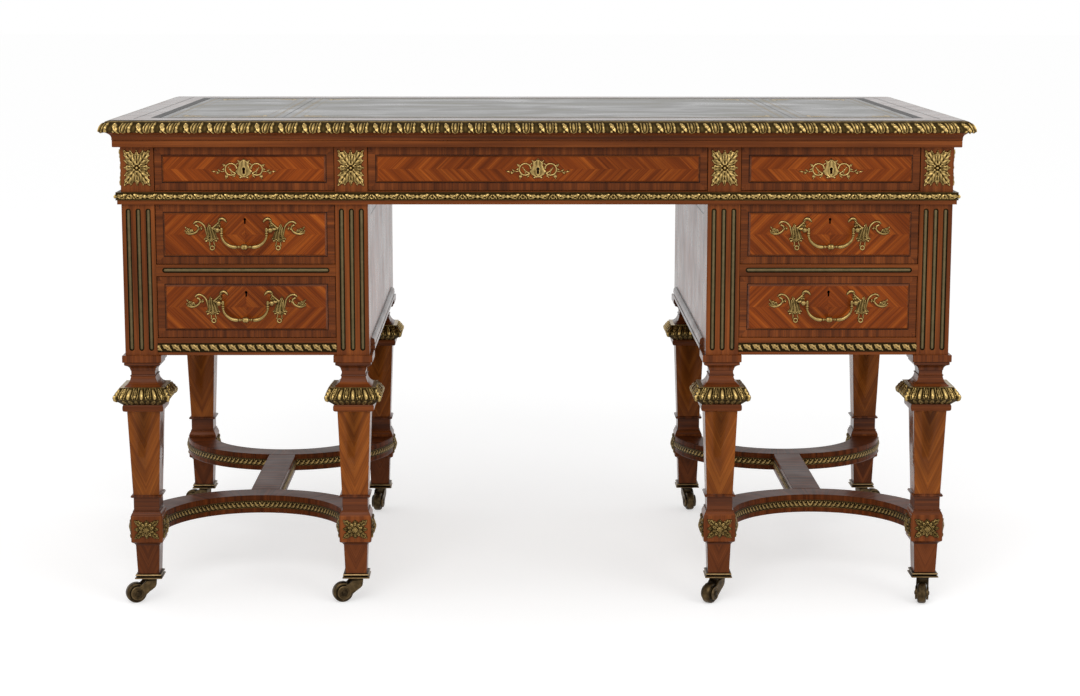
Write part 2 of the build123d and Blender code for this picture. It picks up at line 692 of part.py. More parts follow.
# ---------------------------------------------------------------- stretchers
def arc_sector(r_in, r_out, start, end, z):
    """A length of a flat ring, between two bearings in degrees."""
    steps = [CenterArc((0, 0), radius, start, end - start) for radius in (r_in, r_out)]
    ends = [Line(steps[0] @ at, steps[1] @ at) for at in (0, 1)]
    outline = make_face(Curve() + [*steps, *ends])
    return Pos(0, 0, z[0]) * extrude(outline, amount=z[1] - z[0])


def arc_lengths(r_in, r_out, z):
    """One front arc in sawn lengths, from block to block, for a pair of legs centred on x = 0."""
    first = math.degrees(math.asin((ARC_BEHIND + BLOCK_W / 2) / ARC_R_IN))
    step = (180 - 2 * first) / ARC_SEGMENTS
    behind = board((-r_out, r_out), (ARC_BEHIND + BLOCK_W / 2, 2 * r_out), z)
    pieces = []
    for index in range(ARC_SEGMENTS):
        start = first + index * step if index else 0
        end = first + (index + 1) * step if index < ARC_SEGMENTS - 1 else 180
        pieces.append(arc_sector(r_in, r_out, start, end, z) & behind)
    return pieces


def in_place(pieces):
    """Repeat a front arc's pieces under both pedestals, front and back."""
    placed = []
    for sign in SIDES.values():
        for turn in (0, 180):
            placed += [Rot(0, 0, turn) * Pos(sign * PEDESTAL_X, -ARC_Y, 0) * piece for piece in pieces]
    return placed


def stretchers():
    """An arc behind each pair of legs, and a crossbar between the two arcs of a pedestal."""
    z = (Z_STRETCHER, Z_STRETCHER + STRETCHER_H)
    pieces = in_place(arc_lengths(ARC_R_IN, ARC_R_OUT, z))
    half = CROSSBAR_W / 2
    for sign in SIDES.values():
        x = sign * PEDESTAL_X
        bar = board((x - half, x + half), (ARC_R_IN - ARC_Y, ARC_Y - ARC_R_IN), z)
        for y in (-ARC_Y, ARC_Y):
            bar -= Pos(x, y, z[0]) * extrude(Circle(ARC_R_OUT), amount=STRETCHER_H)
        pieces.append(bar)
    return pieces


def outer_strips(z):
    """A front arc's two strips on its convex face, from the blocks to the crossbar."""
    outer = ARC_R_OUT + STRETCHER_BAND_T
    behind = board((-outer, outer), (ARC_BEHIND + BLOCK_W / 2, 2 * outer), z)
    gap = math.degrees(math.asin((CROSSBAR_W / 2 + STRETCHER_BAND_T) / ARC_R_OUT))
    turns = [(0, 90 - gap), (90 + gap, 180)]
    return [arc_sector(ARC_R_OUT, outer, start, end, z) & behind for start, end in turns]


def stretcher_bands():
    """Gilt strips along both faces of the arcs and the sides of the crossbars."""
    middle = Z_STRETCHER + STRETCHER_H / 2
    z = (middle - STRETCHER_BAND_H / 2, middle + STRETCHER_BAND_H / 2)
    pieces = in_place(arc_lengths(ARC_R_IN - STRETCHER_BAND_T, ARC_R_IN, z) + outer_strips(z))
    half = CROSSBAR_W / 2
    end = ARC_Y - ARC_R_OUT - STRETCHER_BAND_T
    for sign in SIDES.values():
        for side in SIDES.values():
            x = sign * PEDESTAL_X + side * half
            strip = sorted((x, x + side * STRETCHER_BAND_T))
            pieces.append(board(strip, (-end, end), z))
    return pieces


# ---------------------------------------------------------------- drawers
def keyhole(x, z):
    """Cutter for a keyhole right through a drawer front."""
    depth = 2 * (FRONT_T + FIELD_T)
    plane = face_plane(x, FIELD_Y, z, FACINGS["front"])
    hole = Circle(KEYHOLE_R) + Pos(0, -KEYHOLE_SLOT_H / 2) * Rectangle(KEYHOLE_SLOT_W, KEYHOLE_SLOT_H)
    return plane * extrude(hole, amount=depth, both=True)


def field_limits(x, width, low, high):
    """Limits of a drawer's raised field in x and z."""
    half = width / 2 - FIELD_INSET
    return (x - half, x + half), (low + FIELD_INSET, high - FIELD_INSET)


def keyhole_z(name):
    """Height of a drawer's keyhole: central in the frieze, high on a pedestal drawer."""
    _, _, low, high = DRAWERS[name]
    middle = (low + high) / 2
    return middle if name.startswith("frieze") else middle + KEYHOLE_RISE


def drawer(name):
    """Front with its raised field, two sides, back and bottom."""
    x, width, low, high = DRAWERS[name]
    half = width / 2 - DRAWER_SIDE_GAP
    hole = keyhole(x, keyhole_z(name))
    front_z = (low + DRAWER_FOOT_GAP, high - DRAWER_TOP_GAP)
    front = board((x - half, x + half), (DRAWER_FACE_Y, FRONT_BACK_Y), front_z)
    field_x, field_z = field_limits(x, width, low, high)
    field = board(field_x, (FIELD_Y, DRAWER_FACE_Y), field_z)
    field = chamfer(field.faces().sort_by(Axis.Y)[0].edges(), FIELD_BEVEL)
    side_z = (low + DRAWER_SIT, high - DRAWER_SIDE_DROP)
    length = (FRONT_BACK_Y, DRAWER_END_Y)
    pieces = [front - hole, field - hole]
    for sign in (-1, 1):
        side = sorted((x + sign * half, x + sign * (half - DRAWER_SIDE_T)))
        pieces.append(board(side, length, side_z))
    inside = (x - half + DRAWER_SIDE_T, x + half - DRAWER_SIDE_T)
    bottom = low + DRAWER_BOTTOM_LIFT
    back_y = (DRAWER_END_Y - DRAWER_BACK_T, DRAWER_END_Y)
    pieces.append(board(inside, back_y, (bottom + DRAWER_BOTTOM_T, side_z[1])))
    pieces.append(board(inside, length, (bottom, bottom + DRAWER_BOTTOM_T)))
    return pieces


def lock_levels(name):
    """Foot of a lock's case, foot of its bolt and top of both."""
    key_z = keyhole_z(name)
    return key_z - LOCK_BELOW, key_z + BOLT_ABOVE, DRAWERS[name][3] - DRAWER_TOP_GAP


def lock_case(name):
    """Backplate, two cheeks, foot and cover of the lock behind a drawer front."""
    x = DRAWERS[name][0]
    case_low, _, top = lock_levels(name)
    plate = (FRONT_BACK_Y, FRONT_BACK_Y + LOCK_PLATE_T)
    works = (plate[1], plate[1] + BOLT_T + 2 * BOLT_PLAY)
    cover = (works[1], works[1] + LOCK_PLATE_T)
    slot = BOLT_W / 2 + BOLT_PLAY
    wide = (x - LOCK_W / 2, x + LOCK_W / 2)
    key = keyhole(x, keyhole_z(name))
    return [
        board(wide, plate, (case_low, top)) - key,
        board((wide[0], x - slot), works, (case_low, top)),
        board((x + slot, wide[1]), works, (case_low, top)),
        board((x - slot, x + slot), works, (case_low, keyhole_z(name) - KEYHOLE_SLOT_H - KEYHOLE_R)),
        board(wide, cover, (case_low, top)),
    ]


def lock_bolt(name):
    """The bolt, drawn back level with the top of the drawer front."""
    x = DRAWERS[name][0]
    _, bolt_low, top = lock_levels(name)
    front = FRONT_BACK_Y + LOCK_PLATE_T + BOLT_PLAY
    return [board((x - BOLT_W / 2, x + BOLT_W / 2), (front, front + BOLT_T), (bolt_low, top))]


def escutcheon(name):
    """Gilt keyhole plate with a pierced ring either side."""
    x = DRAWERS[name][0]
    key_z = keyhole_z(name)
    outline = Ellipse(ESC_HALF_W, ESC_HALF_H)
    for sign in (-1, 1):
        outline += Pos(sign * ESC_RING_X, 0) * Circle(ESC_RING_R)
    for sign in (-1, 1):
        outline -= Pos(sign * ESC_RING_X, 0) * Circle(ESC_RING_HOLE_R)
    plate = face_plane(x, FIELD_Y, key_z, FACINGS["front"]) * extrude(outline, amount=ESC_T)
    return plate - keyhole(x, key_z)


def pivot_z(name):
    """Height of a pedestal drawer's handle pivots."""
    _, _, low, high = DRAWERS[name]
    return (low + high) / 2 + PIVOT_RISE


def backplate():
    """Right-hand handle backplate, lying in the XY plane with the pivot at the origin."""
    foot = -PLATE_BODY_H / 2 - PIVOT_RISE
    head = foot + PLATE_BODY_H
    body = make_face(Polyline([
        (PLATE_BODY_X - PLATE_BODY_FOOT_W / 2, foot), (PLATE_BODY_X + PLATE_BODY_FOOT_W / 2, foot),
        (PLATE_BODY_X + PLATE_BODY_W / 2, head), (PLATE_BODY_X - PLATE_BODY_W / 2, head),
    ], close=True))
    pendant = Pos(PLATE_BODY_X, foot - PENDANT_R * 0.6) * Circle(PENDANT_R)
    scroll_at = (PLATE_BODY_X + PLATE_BODY_W / 2 + SCROLL_R - SCROLL_W / 2, head - SCROLL_R / 2)
    scroll = SlotArc(CenterArc(scroll_at, SCROLL_R, -60, 250), SCROLL_W)
    tail = Pos(scroll_at[0] + TAIL_LENGTH / 2, scroll_at[1] - SCROLL_R) * SlotOverall(TAIL_LENGTH, TAIL_W)
    leaf = Pos(PLATE_BODY_X - PLATE_BODY_W / 2, head) * SlotOverall(LEAF_LENGTH, LEAF_W, rotation=135)
    eye_land = Pos(PLATE_BODY_X / 2 - EYE_W / 4, 0) * Rectangle(PLATE_BODY_X + EYE_W / 2, EYE_R * 2)
    plate = extrude(body + pendant + scroll + tail + leaf + eye_land, amount=PLATE_T)
    shank = Pos(0, 0, PLATE_T / 2) * extrude(Rectangle(EYE_W, EYE_R), amount=EYE_STAND - PLATE_T / 2)
    eye = Pos(0, 0, EYE_STAND) * Rot(0, 90, 0) * Cylinder(EYE_R, EYE_W)
    bore = Pos(0, 0, EYE_STAND) * Rot(0, 90, 0) * Cylinder(PIN_R + PIN_PLAY, 2 * EYE_W)
    return plate + shank + eye - bore


def handle_plates(name):
    """A mirrored pair of backplates on a pedestal drawer's field."""
    x = DRAWERS[name][0]
    right = Pos(PIVOT_SPAN / 2, 0, 0) * backplate()
    left = mirror(right, Plane.YZ)
    plane = face_plane(x, FIELD_Y, pivot_z(name), FACINGS["front"])
    return [plane * left, plane * right]


def bail(name):
    """The swinging bail: round bar with a pin through each eye and a knop at the middle."""
    arm = PIVOT_SPAN / 2 - BAIL_ARM_IN
    corners = [(-arm, 0), (-arm + 3, -BAIL_DROP * 0.7), (-arm / 2.4, -BAIL_DROP),
               (arm / 2.4, -BAIL_DROP), (arm - 3, -BAIL_DROP * 0.7), (arm, 0)]
    path = FilletPolyline(corners, radius=BAIL_BEND_R)
    bar = sweep(Plane(origin=path @ 0, z_dir=path % 0) * Circle(BAIL_R), path=path)
    knop = Rot(0, 90, 0) * Cylinder(KNOP_R, KNOP_LENGTH)
    bar += Pos(0, -BAIL_DROP, 0) * chamfer(knop.edges().filter_by(GeomType.CIRCLE), KNOP_BEVEL)
    pin_length = PIVOT_SPAN / 2 + EYE_W / 2 + PIN_R - arm + BAIL_R
    for sign in (-1, 1):
        pin = Rot(0, 90, 0) * Cylinder(PIN_R, pin_length)
        bar += Pos(sign * (arm - BAIL_R + pin_length / 2), 0, 0) * pin
    for sign in (-1, 1):
        bar += Pos(sign * arm, 0, 0) * Rot(0, 90, 0) * Cylinder(BAIL_COLLAR_R, 2 * BAIL_R)
    plane = face_plane(DRAWERS[name][0], PIN_Y, pivot_z(name), FACINGS["front"])
    return [plane * bar]


# ---------------------------------------------------------------- casters
def caster_place(name):
    """Where a caster stands, turned to its trailing direction."""
    x, y = LEGS[name]
    return Pos(x, y, 0) * Rot(0, 0, CASTER_YAW[name])


def caster_fork(name):
    """Stem, crown, two cheeks and axle with its knobs; the wheel trails along +X before turning."""
    crown_top = Z_CAP - CAP_GAP
    crown_low = crown_top - CROWN_H
    stem_top = Z_FOOT - CAP_GAP
    inner = WHEEL_W / 2 + CHEEK_GAP
    outer = inner + CHEEK_T
    pieces = [
        Pos(0, 0, crown_top) * extrude(Circle(STEM_R), amount=stem_top - crown_top),
        Pos(0, 0, crown_low) * extrude(Circle(CROWN_R), amount=CROWN_H),
    ]
    half_crown = math.sqrt(CROWN_R ** 2 - outer ** 2)
    cheek = make_face(Polyline([
        (-half_crown, crown_low), (-half_crown * 0.8, CHEEK_HEEL_Z),
        (TRAIL - CHEEK_R * 0.3, WHEEL_R - CHEEK_R), (TRAIL + CHEEK_R * 0.4, WHEEL_R - CHEEK_R * 0.8),
        (TRAIL + CHEEK_R * 0.7, WHEEL_R - CHEEK_R * 0.1), (TRAIL + CHEEK_R * 0.4, WHEEL_R + CHEEK_R * 0.6),
        (half_crown, crown_low),
    ], close=True))
    for sign in (-1, 1):
        start = -inner if sign < 0 else outer
        pieces.append(Pos(0, start, 0) * extrude(Plane.XZ * cheek, amount=CHEEK_T))
        knob = Pos(TRAIL, sign * (outer + AXLE_KNOB_T / 2), WHEEL_R) * Rot(90, 0, 0)
        pieces.append(knob * Cylinder(AXLE_KNOB_R, AXLE_KNOB_T))
    pieces.append(Pos(TRAIL, 0, WHEEL_R) * Rot(90, 0, 0) * Cylinder(AXLE_R, 2 * inner))
    place = caster_place(name)
    return [place * piece for piece in pieces]


def caster_wheel(name):
    """A brass wheel with softened rims, bored for its axle."""
    wheel = Cylinder(WHEEL_R, WHEEL_W)
    wheel = chamfer(wheel.edges().filter_by(GeomType.CIRCLE), WHEEL_BEVEL)
    wheel -= Cylinder(AXLE_R + AXLE_PLAY, 2 * WHEEL_W)
    return [caster_place(name) * Pos(TRAIL, 0, WHEEL_R) * Rot(90, 0, 0) * wheel]


def main():
    """Write every node."""
    os.makedirs("parts", exist_ok=True)
    save("top_board", top_board())
    save("writing_leather", writing_leather())
    save("top_edge_gadroon", top_edge())
    save("cornice", cornice())
    save("posts", posts())
    save("brass_flutes", brass_flutes())
    save("frieze_boards", frieze_boards())
    save("waist_band", waist_band())
    save("pedestal_panels", pedestal_panels())
    save("drawer_rails", drawer_rails())
    save("base_rope", base_rope())
    save("side_mouldings", side_mouldings())
    save("rosettes", rosettes())
    save("leg_heads", leg_heads())
    save("leg_collars", leg_collars())
    save("leg_shafts", leg_shafts())
    save("caster_caps", caster_caps())
    save("stretchers", stretchers())
    save("stretcher_bands", stretcher_bands())
    for name in DRAWERS:
        save(f"drawer_{name}", drawer(name))
        trim = [escutcheon(name)] if name.startswith("frieze") else handle_plates(name)
        save(f"drawer_{name}_fittings", lock_case(name) + trim)
        save(f"lock_bolt_{name}", lock_bolt(name))
        if not name.startswith("frieze"):
            save(f"bail_{name}", bail(name))
    for name in LEGS:
        save(f"caster_fork_{name}", caster_fork(name))
        save(f"caster_wheel_{name}", caster_wheel(name))


main()
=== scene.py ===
"""The looks of a kneehole writing desk: veneers, gilt mounts, tooled leather and casters."""
import json
import math

import bmesh
import bpy
import numpy as np
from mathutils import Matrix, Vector


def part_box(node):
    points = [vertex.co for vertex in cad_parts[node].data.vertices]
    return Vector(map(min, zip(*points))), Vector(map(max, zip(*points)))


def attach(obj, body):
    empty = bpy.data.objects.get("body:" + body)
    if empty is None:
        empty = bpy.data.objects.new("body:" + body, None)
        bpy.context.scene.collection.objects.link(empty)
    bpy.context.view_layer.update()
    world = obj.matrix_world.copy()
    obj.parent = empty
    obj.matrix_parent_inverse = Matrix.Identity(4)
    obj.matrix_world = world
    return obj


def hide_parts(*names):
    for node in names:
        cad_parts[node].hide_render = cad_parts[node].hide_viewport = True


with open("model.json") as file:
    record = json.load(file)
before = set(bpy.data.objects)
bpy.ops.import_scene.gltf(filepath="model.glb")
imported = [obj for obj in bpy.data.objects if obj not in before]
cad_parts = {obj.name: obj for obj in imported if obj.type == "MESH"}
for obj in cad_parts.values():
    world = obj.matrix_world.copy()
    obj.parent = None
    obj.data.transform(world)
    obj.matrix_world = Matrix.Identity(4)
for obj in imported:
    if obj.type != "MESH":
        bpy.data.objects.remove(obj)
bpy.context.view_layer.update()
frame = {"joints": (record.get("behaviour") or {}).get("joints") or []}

rng = np.random.default_rng(7)
MM = 0.001

# ---------------------------------------------------------------- sizes from the frame, in metres
def limits(node):
    """Lowest and highest corner of a node."""
    low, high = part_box(node)
    return np.array(low), np.array(high)


def span_z(node):
    """Lowest and highest level of a node."""
    low, high = limits(node)
    return low[2], high[2]


JOINTS = {joint["name"]: joint for joint in frame["joints"]}
LEGS = {name[:-len("_swivel")]: np.array(joint["pos_m"])
        for name, joint in JOINTS.items() if name.endswith("_swivel")}
DRAWERS = [name[:-len("_slide")] for name in JOINTS if name.endswith("_slide")]
CASE_X, CASE_Y, Z_TOP = limits("posts")[1]
Z_CASE = span_z("posts")[0]
TOP_X, TOP_Y, HEIGHT = limits("top_board")[1]
LEATHER_X, LEATHER_Y = limits("writing_leather")[1][:2]
EDGE_OUT = limits("top_edge_gadroon")[1][0] - TOP_X
COVE_OUT = limits("cornice")[1][0] - CASE_X
Z_FASCIA = span_z("cornice")[0]
BAND_OUT = limits("waist_band")[1][0] - CASE_X
Z_BAND_LOW, Z_BAND_HIGH = span_z("waist_band")
Z_WAIST = span_z("pedestal_panels")[1]
LEG_OUTER = max(leg[0] for leg in LEGS.values())
LEG_INNER = min(leg[0] for leg in LEGS.values() if leg[0] > 0)
LEG_Y = max(leg[1] for leg in LEGS.values())
HALF_POST = CASE_X - LEG_OUTER
INNER_Y = LEG_Y - HALF_POST
KNEE_X = LEG_INNER - HALF_POST
PEDESTAL_X = (LEG_INNER + LEG_OUTER) / 2
OPENING = (LEG_OUTER - LEG_INNER) / 2 - HALF_POST
SIDES = (-1, 1)

# Levels of the square legs above the caster sockets, and the widths that other pieces need.
Z_CAP = min(leg[2] for leg in LEGS.values())
Z_FOOT, Z_ANKLE, Z_BLOCK, Z_SHOULDER, Z_LOW_NECK, Z_ASTRAGAL, Z_SHAFT = (
    Z_CAP + rise * MM for rise in (8.5, 56, 61.5, 105.5, 113.5, 134.5, 139.5))
Z_BED, Z_COLLAR, Z_FLARE, Z_HIGH_NECK, Z_CAVETTO, Z_HEAD_FILLET, Z_PLINTH = (
    Z_CAP + rise * MM for rise in (276.5, 288.5, 316.5, 334.5, 341.5, 351, 356))
BLOCK_W = 51.0 * MM
CORE_W = 44.0 * MM
PANEL_T = 14 * MM
BOTTOM_T = 12 * MM
VENEER = 0.6 * MM

# How a mesh is finished: the widest seam that closes, and the angle from which an edge is sharp.
SEAM = 0.004 * MM
SHARP = math.radians(34)

# ---------------------------------------------------------------- materials
class Graph:
    """A short way to write a material's nodes."""

    def __init__(self, name):
        self.material = bpy.data.materials.new(name)
        self.material.use_nodes = True
        self.tree = self.material.node_tree
        self.tree.nodes.clear()
        self.output = self.tree.nodes.new("ShaderNodeOutputMaterial")

    def node(self, kind, inputs=(), **settings):
        """Add a node; inputs is a list of (socket, value or linked socket)."""
        made = self.tree.nodes.new("ShaderNode" + kind)
        for key, value in settings.items():
            setattr(made, key, value)
        for key, value in inputs:
            if isinstance(value, bpy.types.NodeSocket):
                self.tree.links.new(value, made.inputs[key])
            else:
                made.inputs[key].default_value = value
        return made

    def place(self, scale, source="UV"):
        """Coordinates stretched by scale: along and across the grain, or in the object's own space."""
        if source == "UV":
            coordinates = self.node("UVMap", uv_map="grain").outputs[0]
        else:
            coordinates = self.node("TexCoord").outputs["Object"]
        return self.node("Mapping", [("Vector", coordinates), ("Scale", scale)]).outputs[0]

    def noise(self, vector, detail=3.0, distortion=0.0):
        """Fractal noise from 0 to 1."""
        inputs = [("Vector", vector), ("Scale", 1.0), ("Detail", detail), ("Distortion", distortion)]
        return self.node("TexNoise", inputs).outputs["Fac"]

    def ramp(self, factor, stops):
        """Colours or grey levels along a factor."""
        made = self.node("ValToRGB", [("Fac", factor)])
        band = made.color_ramp
        while len(band.elements) < len(stops):
            band.elements.new(0.5)
        for element, (position, colour) in zip(band.elements, stops):
            element.position = position
            element.color = (*colour, 1) if isinstance(colour, tuple) else (colour, colour, colour, 1)
        return made.outputs["Color"]

    def mix(self, factor, first, second, blend="MIX"):
        """Blend of two colours."""
        made = self.node("Mix", data_type="RGBA", blend_type=blend)
        for index, value in ((0, factor), (6, first), (7, second)):
            if isinstance(value, bpy.types.NodeSocket):
                self.tree.links.new(value, made.inputs[index])
            else:
                made.inputs[index].default_value = (*value, 1) if isinstance(value, tuple) else value
        return made.outputs[2]

    def math(self, operation, first, second):
        """One step of arithmetic."""
        return self.node("Math", [(0, first), (1, second)], operation=operation).outputs[0]

    def bump(self, height, strength, distance, normal=None):
        """A bumped normal."""
        inputs = [("Height", height), ("Strength", strength), ("Distance", distance)]
        if normal is not None:
            inputs.append(("Normal", normal))
        return self.node("Bump", inputs).outputs[0]

    def surface(self, inputs):
        """Finish with a Principled surface."""
        shader = self.node("BsdfPrincipled", inputs)
        self.tree.links.new(shader.outputs[0], self.output.inputs["Surface"])
        return self.material


def wood(name, dark, middle, light, vein, index=1.16, roughness=0.3, band=60.0, contrast=0.6):
    """Polished veneer whose figure follows the grain coordinates."""
    g = Graph(name)
    broad = g.noise(g.place((2.2, band, 1)), detail=2.5, distortion=0.35)
    colour = g.ramp(broad, [(0.3, dark), (0.48, middle), (0.7, light)])
    streak = g.ramp(g.noise(g.place((7, band * 6.5, 1)), detail=3), [(0.42, 0.0), (0.66, 1.0)])
    colour = g.mix(g.math("MULTIPLY", streak, contrast), colour, vein)
    cloud = g.ramp(g.noise(g.place((5, 5, 5), "Object"), detail=3), [(0.3, 0.72), (0.7, 1.12)])
    colour = g.mix(1.0, colour, cloud, "MULTIPLY")
    pore = g.noise(g.place((45, 2400, 1)), detail=2)
    pores = g.ramp(pore, [(0.3, 0.62), (0.42, 1.0)])
    colour = g.mix(0.7, colour, pores, "MULTIPLY")
    smear = g.noise(g.place((14, 14, 14), "Object"), detail=4)
    rough = g.ramp(smear, [(0.3, roughness * 0.8), (0.75, roughness * 1.25)])
    normal = g.bump(pore, 0.12, 0.0002)
    ripple = g.bump(g.noise(g.place((9, 9, 9), "Object"), detail=1), 0.05, 0.004)
    return g.surface([
        ("Base Color", colour), ("Roughness", rough), ("Normal", normal), ("IOR", index),
        ("Coat Weight", 0.3), ("Coat Roughness", 0.12), ("Coat IOR", index), ("Coat Normal", ripple),
    ])


def metal(name, dark, middle, light, roughness, grime=0.5):
    """Cast and burnished metal: the wear attribute is low in the hollows and high on the crests."""
    g = Graph(name)
    wear = g.node("Attribute", attribute_name="wear").outputs["Fac"]
    patch = g.noise(g.place((120, 120, 120), "Object"), detail=5)
    level = g.math("ADD", wear, g.math("MULTIPLY", g.math("SUBTRACT", patch, 0.5), grime))
    colour = g.ramp(level, [(0.12, dark), (0.5, middle), (0.92, light)])
    rough = g.ramp(level, [(0.1, roughness + 0.26), (0.85, roughness)])
    chased = g.noise(g.place((900, 900, 900), "Object"), detail=2)
    normal = g.bump(chased, 0.14, 0.0003)
    return g.surface([("Base Color", colour), ("Metallic", 1.0), ("Roughness", rough), ("Normal", normal)])


def leather(name):
    """Dark polished hide: pebbled grain, scuffs and a faint mottling."""
    g = Graph(name)
    cells = g.node("TexVoronoi", [("Vector", g.place((1, 1, 1), "Object")), ("Scale", 620.0)],
                   feature="SMOOTH_F1").outputs["Distance"]
    mottle = g.noise(g.place((6, 11, 6), "Object"), detail=5, distortion=0.6)
    colour = g.ramp(mottle, [(0.3, (0.017, 0.0155, 0.015)), (0.52, (0.046, 0.043, 0.036)),
                             (0.74, (0.13, 0.125, 0.084))])
    rough = g.ramp(mottle, [(0.3, 0.25), (0.75, 0.55)])
    scuff = g.noise(g.place((30, 30, 30), "Object"), detail=6)
    normal = g.bump(cells, 0.22, 0.0004, g.bump(scuff, 0.08, 0.0012))
    return g.surface([("Base Color", colour), ("Roughness", rough), ("Normal", normal), ("Coat Weight", 0.18),
                      ("Coat Roughness", 0.22)])


def plain_wood(name, dark, light):
    """Waxed secondary timber of drawer linings and runners."""
    g = Graph(name)
    line = g.noise(g.place((2.0, 70.0, 1.0)), detail=4, distortion=0.25)
    colour = g.ramp(line, [(0.3, dark), (0.7, light)])
    ray = g.ramp(g.noise(g.place((60, 1500, 1)), detail=2), [(0.33, 0.7), (0.45, 1.0)])
    colour = g.mix(0.6, colour, ray, "MULTIPLY")
    return g.surface([("Base Color", colour), ("Roughness", 0.55), ("Normal", g.bump(line, 0.15, 0.0003))])


def dark_inlay_and_painted_shade(name):
    """Ebonised stringing, and the painted shade inside a keyhole and in the gap round a drawer's raised
    field.
    """
    g = Graph(name)
    line = g.noise(g.place((30, 900, 1)), detail=3)
    colour = g.ramp(line, [(0.3, (0.006, 0.004, 0.004)), (0.7, (0.018, 0.012, 0.01))])
    return g.surface([("Base Color", colour), ("Roughness", 0.4), ("IOR", 1.15),
                      ("Normal", g.bump(line, 0.1, 0.0002))])


FINISH = {
    "kingwood": wood("kingwood veneer", (0.115, 0.0215, 0.002), (0.2, 0.0385, 0.0035), (0.34, 0.08, 0.0085),
                     (0.085, 0.0155, 0.002), band=120.0, contrast=0.7),
    "leg_wood": wood("leg veneer", (0.13, 0.033, 0.005), (0.205, 0.055, 0.008), (0.295, 0.088, 0.014),
                     (0.095, 0.024, 0.004), band=120.0),
    "crossbanding": wood("crossbanded veneer", (0.075, 0.0195, 0.0048), (0.134, 0.033, 0.007),
                         (0.205, 0.053, 0.011), (0.05, 0.0135, 0.0043), band=110.0),
    # stretcher veneer: a darker copy of the crossbanding, painted shade for the stretchers low under the desk
    "stretcher_wood": wood("dark stretcher veneer", (0.05, 0.0125, 0.0035), (0.098, 0.0235, 0.005),
                           (0.16, 0.039, 0.009), (0.034, 0.009, 0.003), index=1.1, roughness=0.4, band=110.0),
    "post_wood": wood("straight veneer", (0.1, 0.025, 0.005), (0.155, 0.039, 0.0075), (0.23, 0.063, 0.013),
                      (0.075, 0.018, 0.005), band=95.0, contrast=0.5),
    # foot veneer: a darker copy of the crossbanding, painted shade for the light that falls off near the
    # floor
    "foot_wood": wood("foot veneer", (0.075, 0.0195, 0.005), (0.12, 0.031, 0.0075), (0.18, 0.048, 0.012),
                      (0.055, 0.014, 0.0045), band=120.0),
    "moulding": wood("moulded rosewood", (0.05, 0.0135, 0.0045), (0.11, 0.028, 0.007), (0.175, 0.046, 0.011),
                     (0.034, 0.01, 0.004), index=1.2, band=110.0),
    # bevel: darker than the field veneer, painted shade for the shadow line round the raised field
    "bevel": wood("polished bevel", (0.09, 0.022, 0.006), (0.15, 0.038, 0.009), (0.22, 0.06, 0.014),
                  (0.06, 0.015, 0.005), index=1.3, band=110.0),
    "top_border": wood("polished top border", (0.04, 0.016, 0.01), (0.09, 0.034, 0.018), (0.15, 0.06, 0.03),
                       (0.03, 0.012, 0.008), index=1.38, band=75.0),
    "oak": plain_wood("drawer lining oak", (0.16, 0.09, 0.04), (0.33, 0.205, 0.1)),
    "carcass_wood": plain_wood("carcass mahogany", (0.07, 0.025, 0.012), (0.15, 0.058, 0.026)),
    "inlay": dark_inlay_and_painted_shade("ebonised inlay"),
    "ormolu": metal("gilt bronze", (0.03, 0.019, 0.0062), (0.088, 0.0555, 0.0168), (0.42, 0.29, 0.105), 0.27),
    "dull_ormolu": metal("rubbed gilt bronze", (0.018, 0.0115, 0.0042), (0.055, 0.034, 0.0115),
                         (0.3, 0.2, 0.075), 0.34),
    "brass_inlay": metal("inlaid brass", (0.05, 0.038, 0.017), (0.13, 0.097, 0.048), (0.4, 0.31, 0.165),
                         0.34, 0.35),
    "caster_brass": metal("worn caster brass", (0.01, 0.007, 0.0042), (0.03, 0.0205, 0.0105),
                          (0.2, 0.132, 0.06), 0.34),
    "steel": metal("lock steel", (0.05, 0.045, 0.04), (0.22, 0.21, 0.2), (0.5, 0.49, 0.47), 0.38),
    "leather": leather("tooled hide"),
    "tooling": metal("gold tooling", (0.03, 0.02, 0.01), (0.16, 0.11, 0.045), (0.42, 0.31, 0.14), 0.42),
}


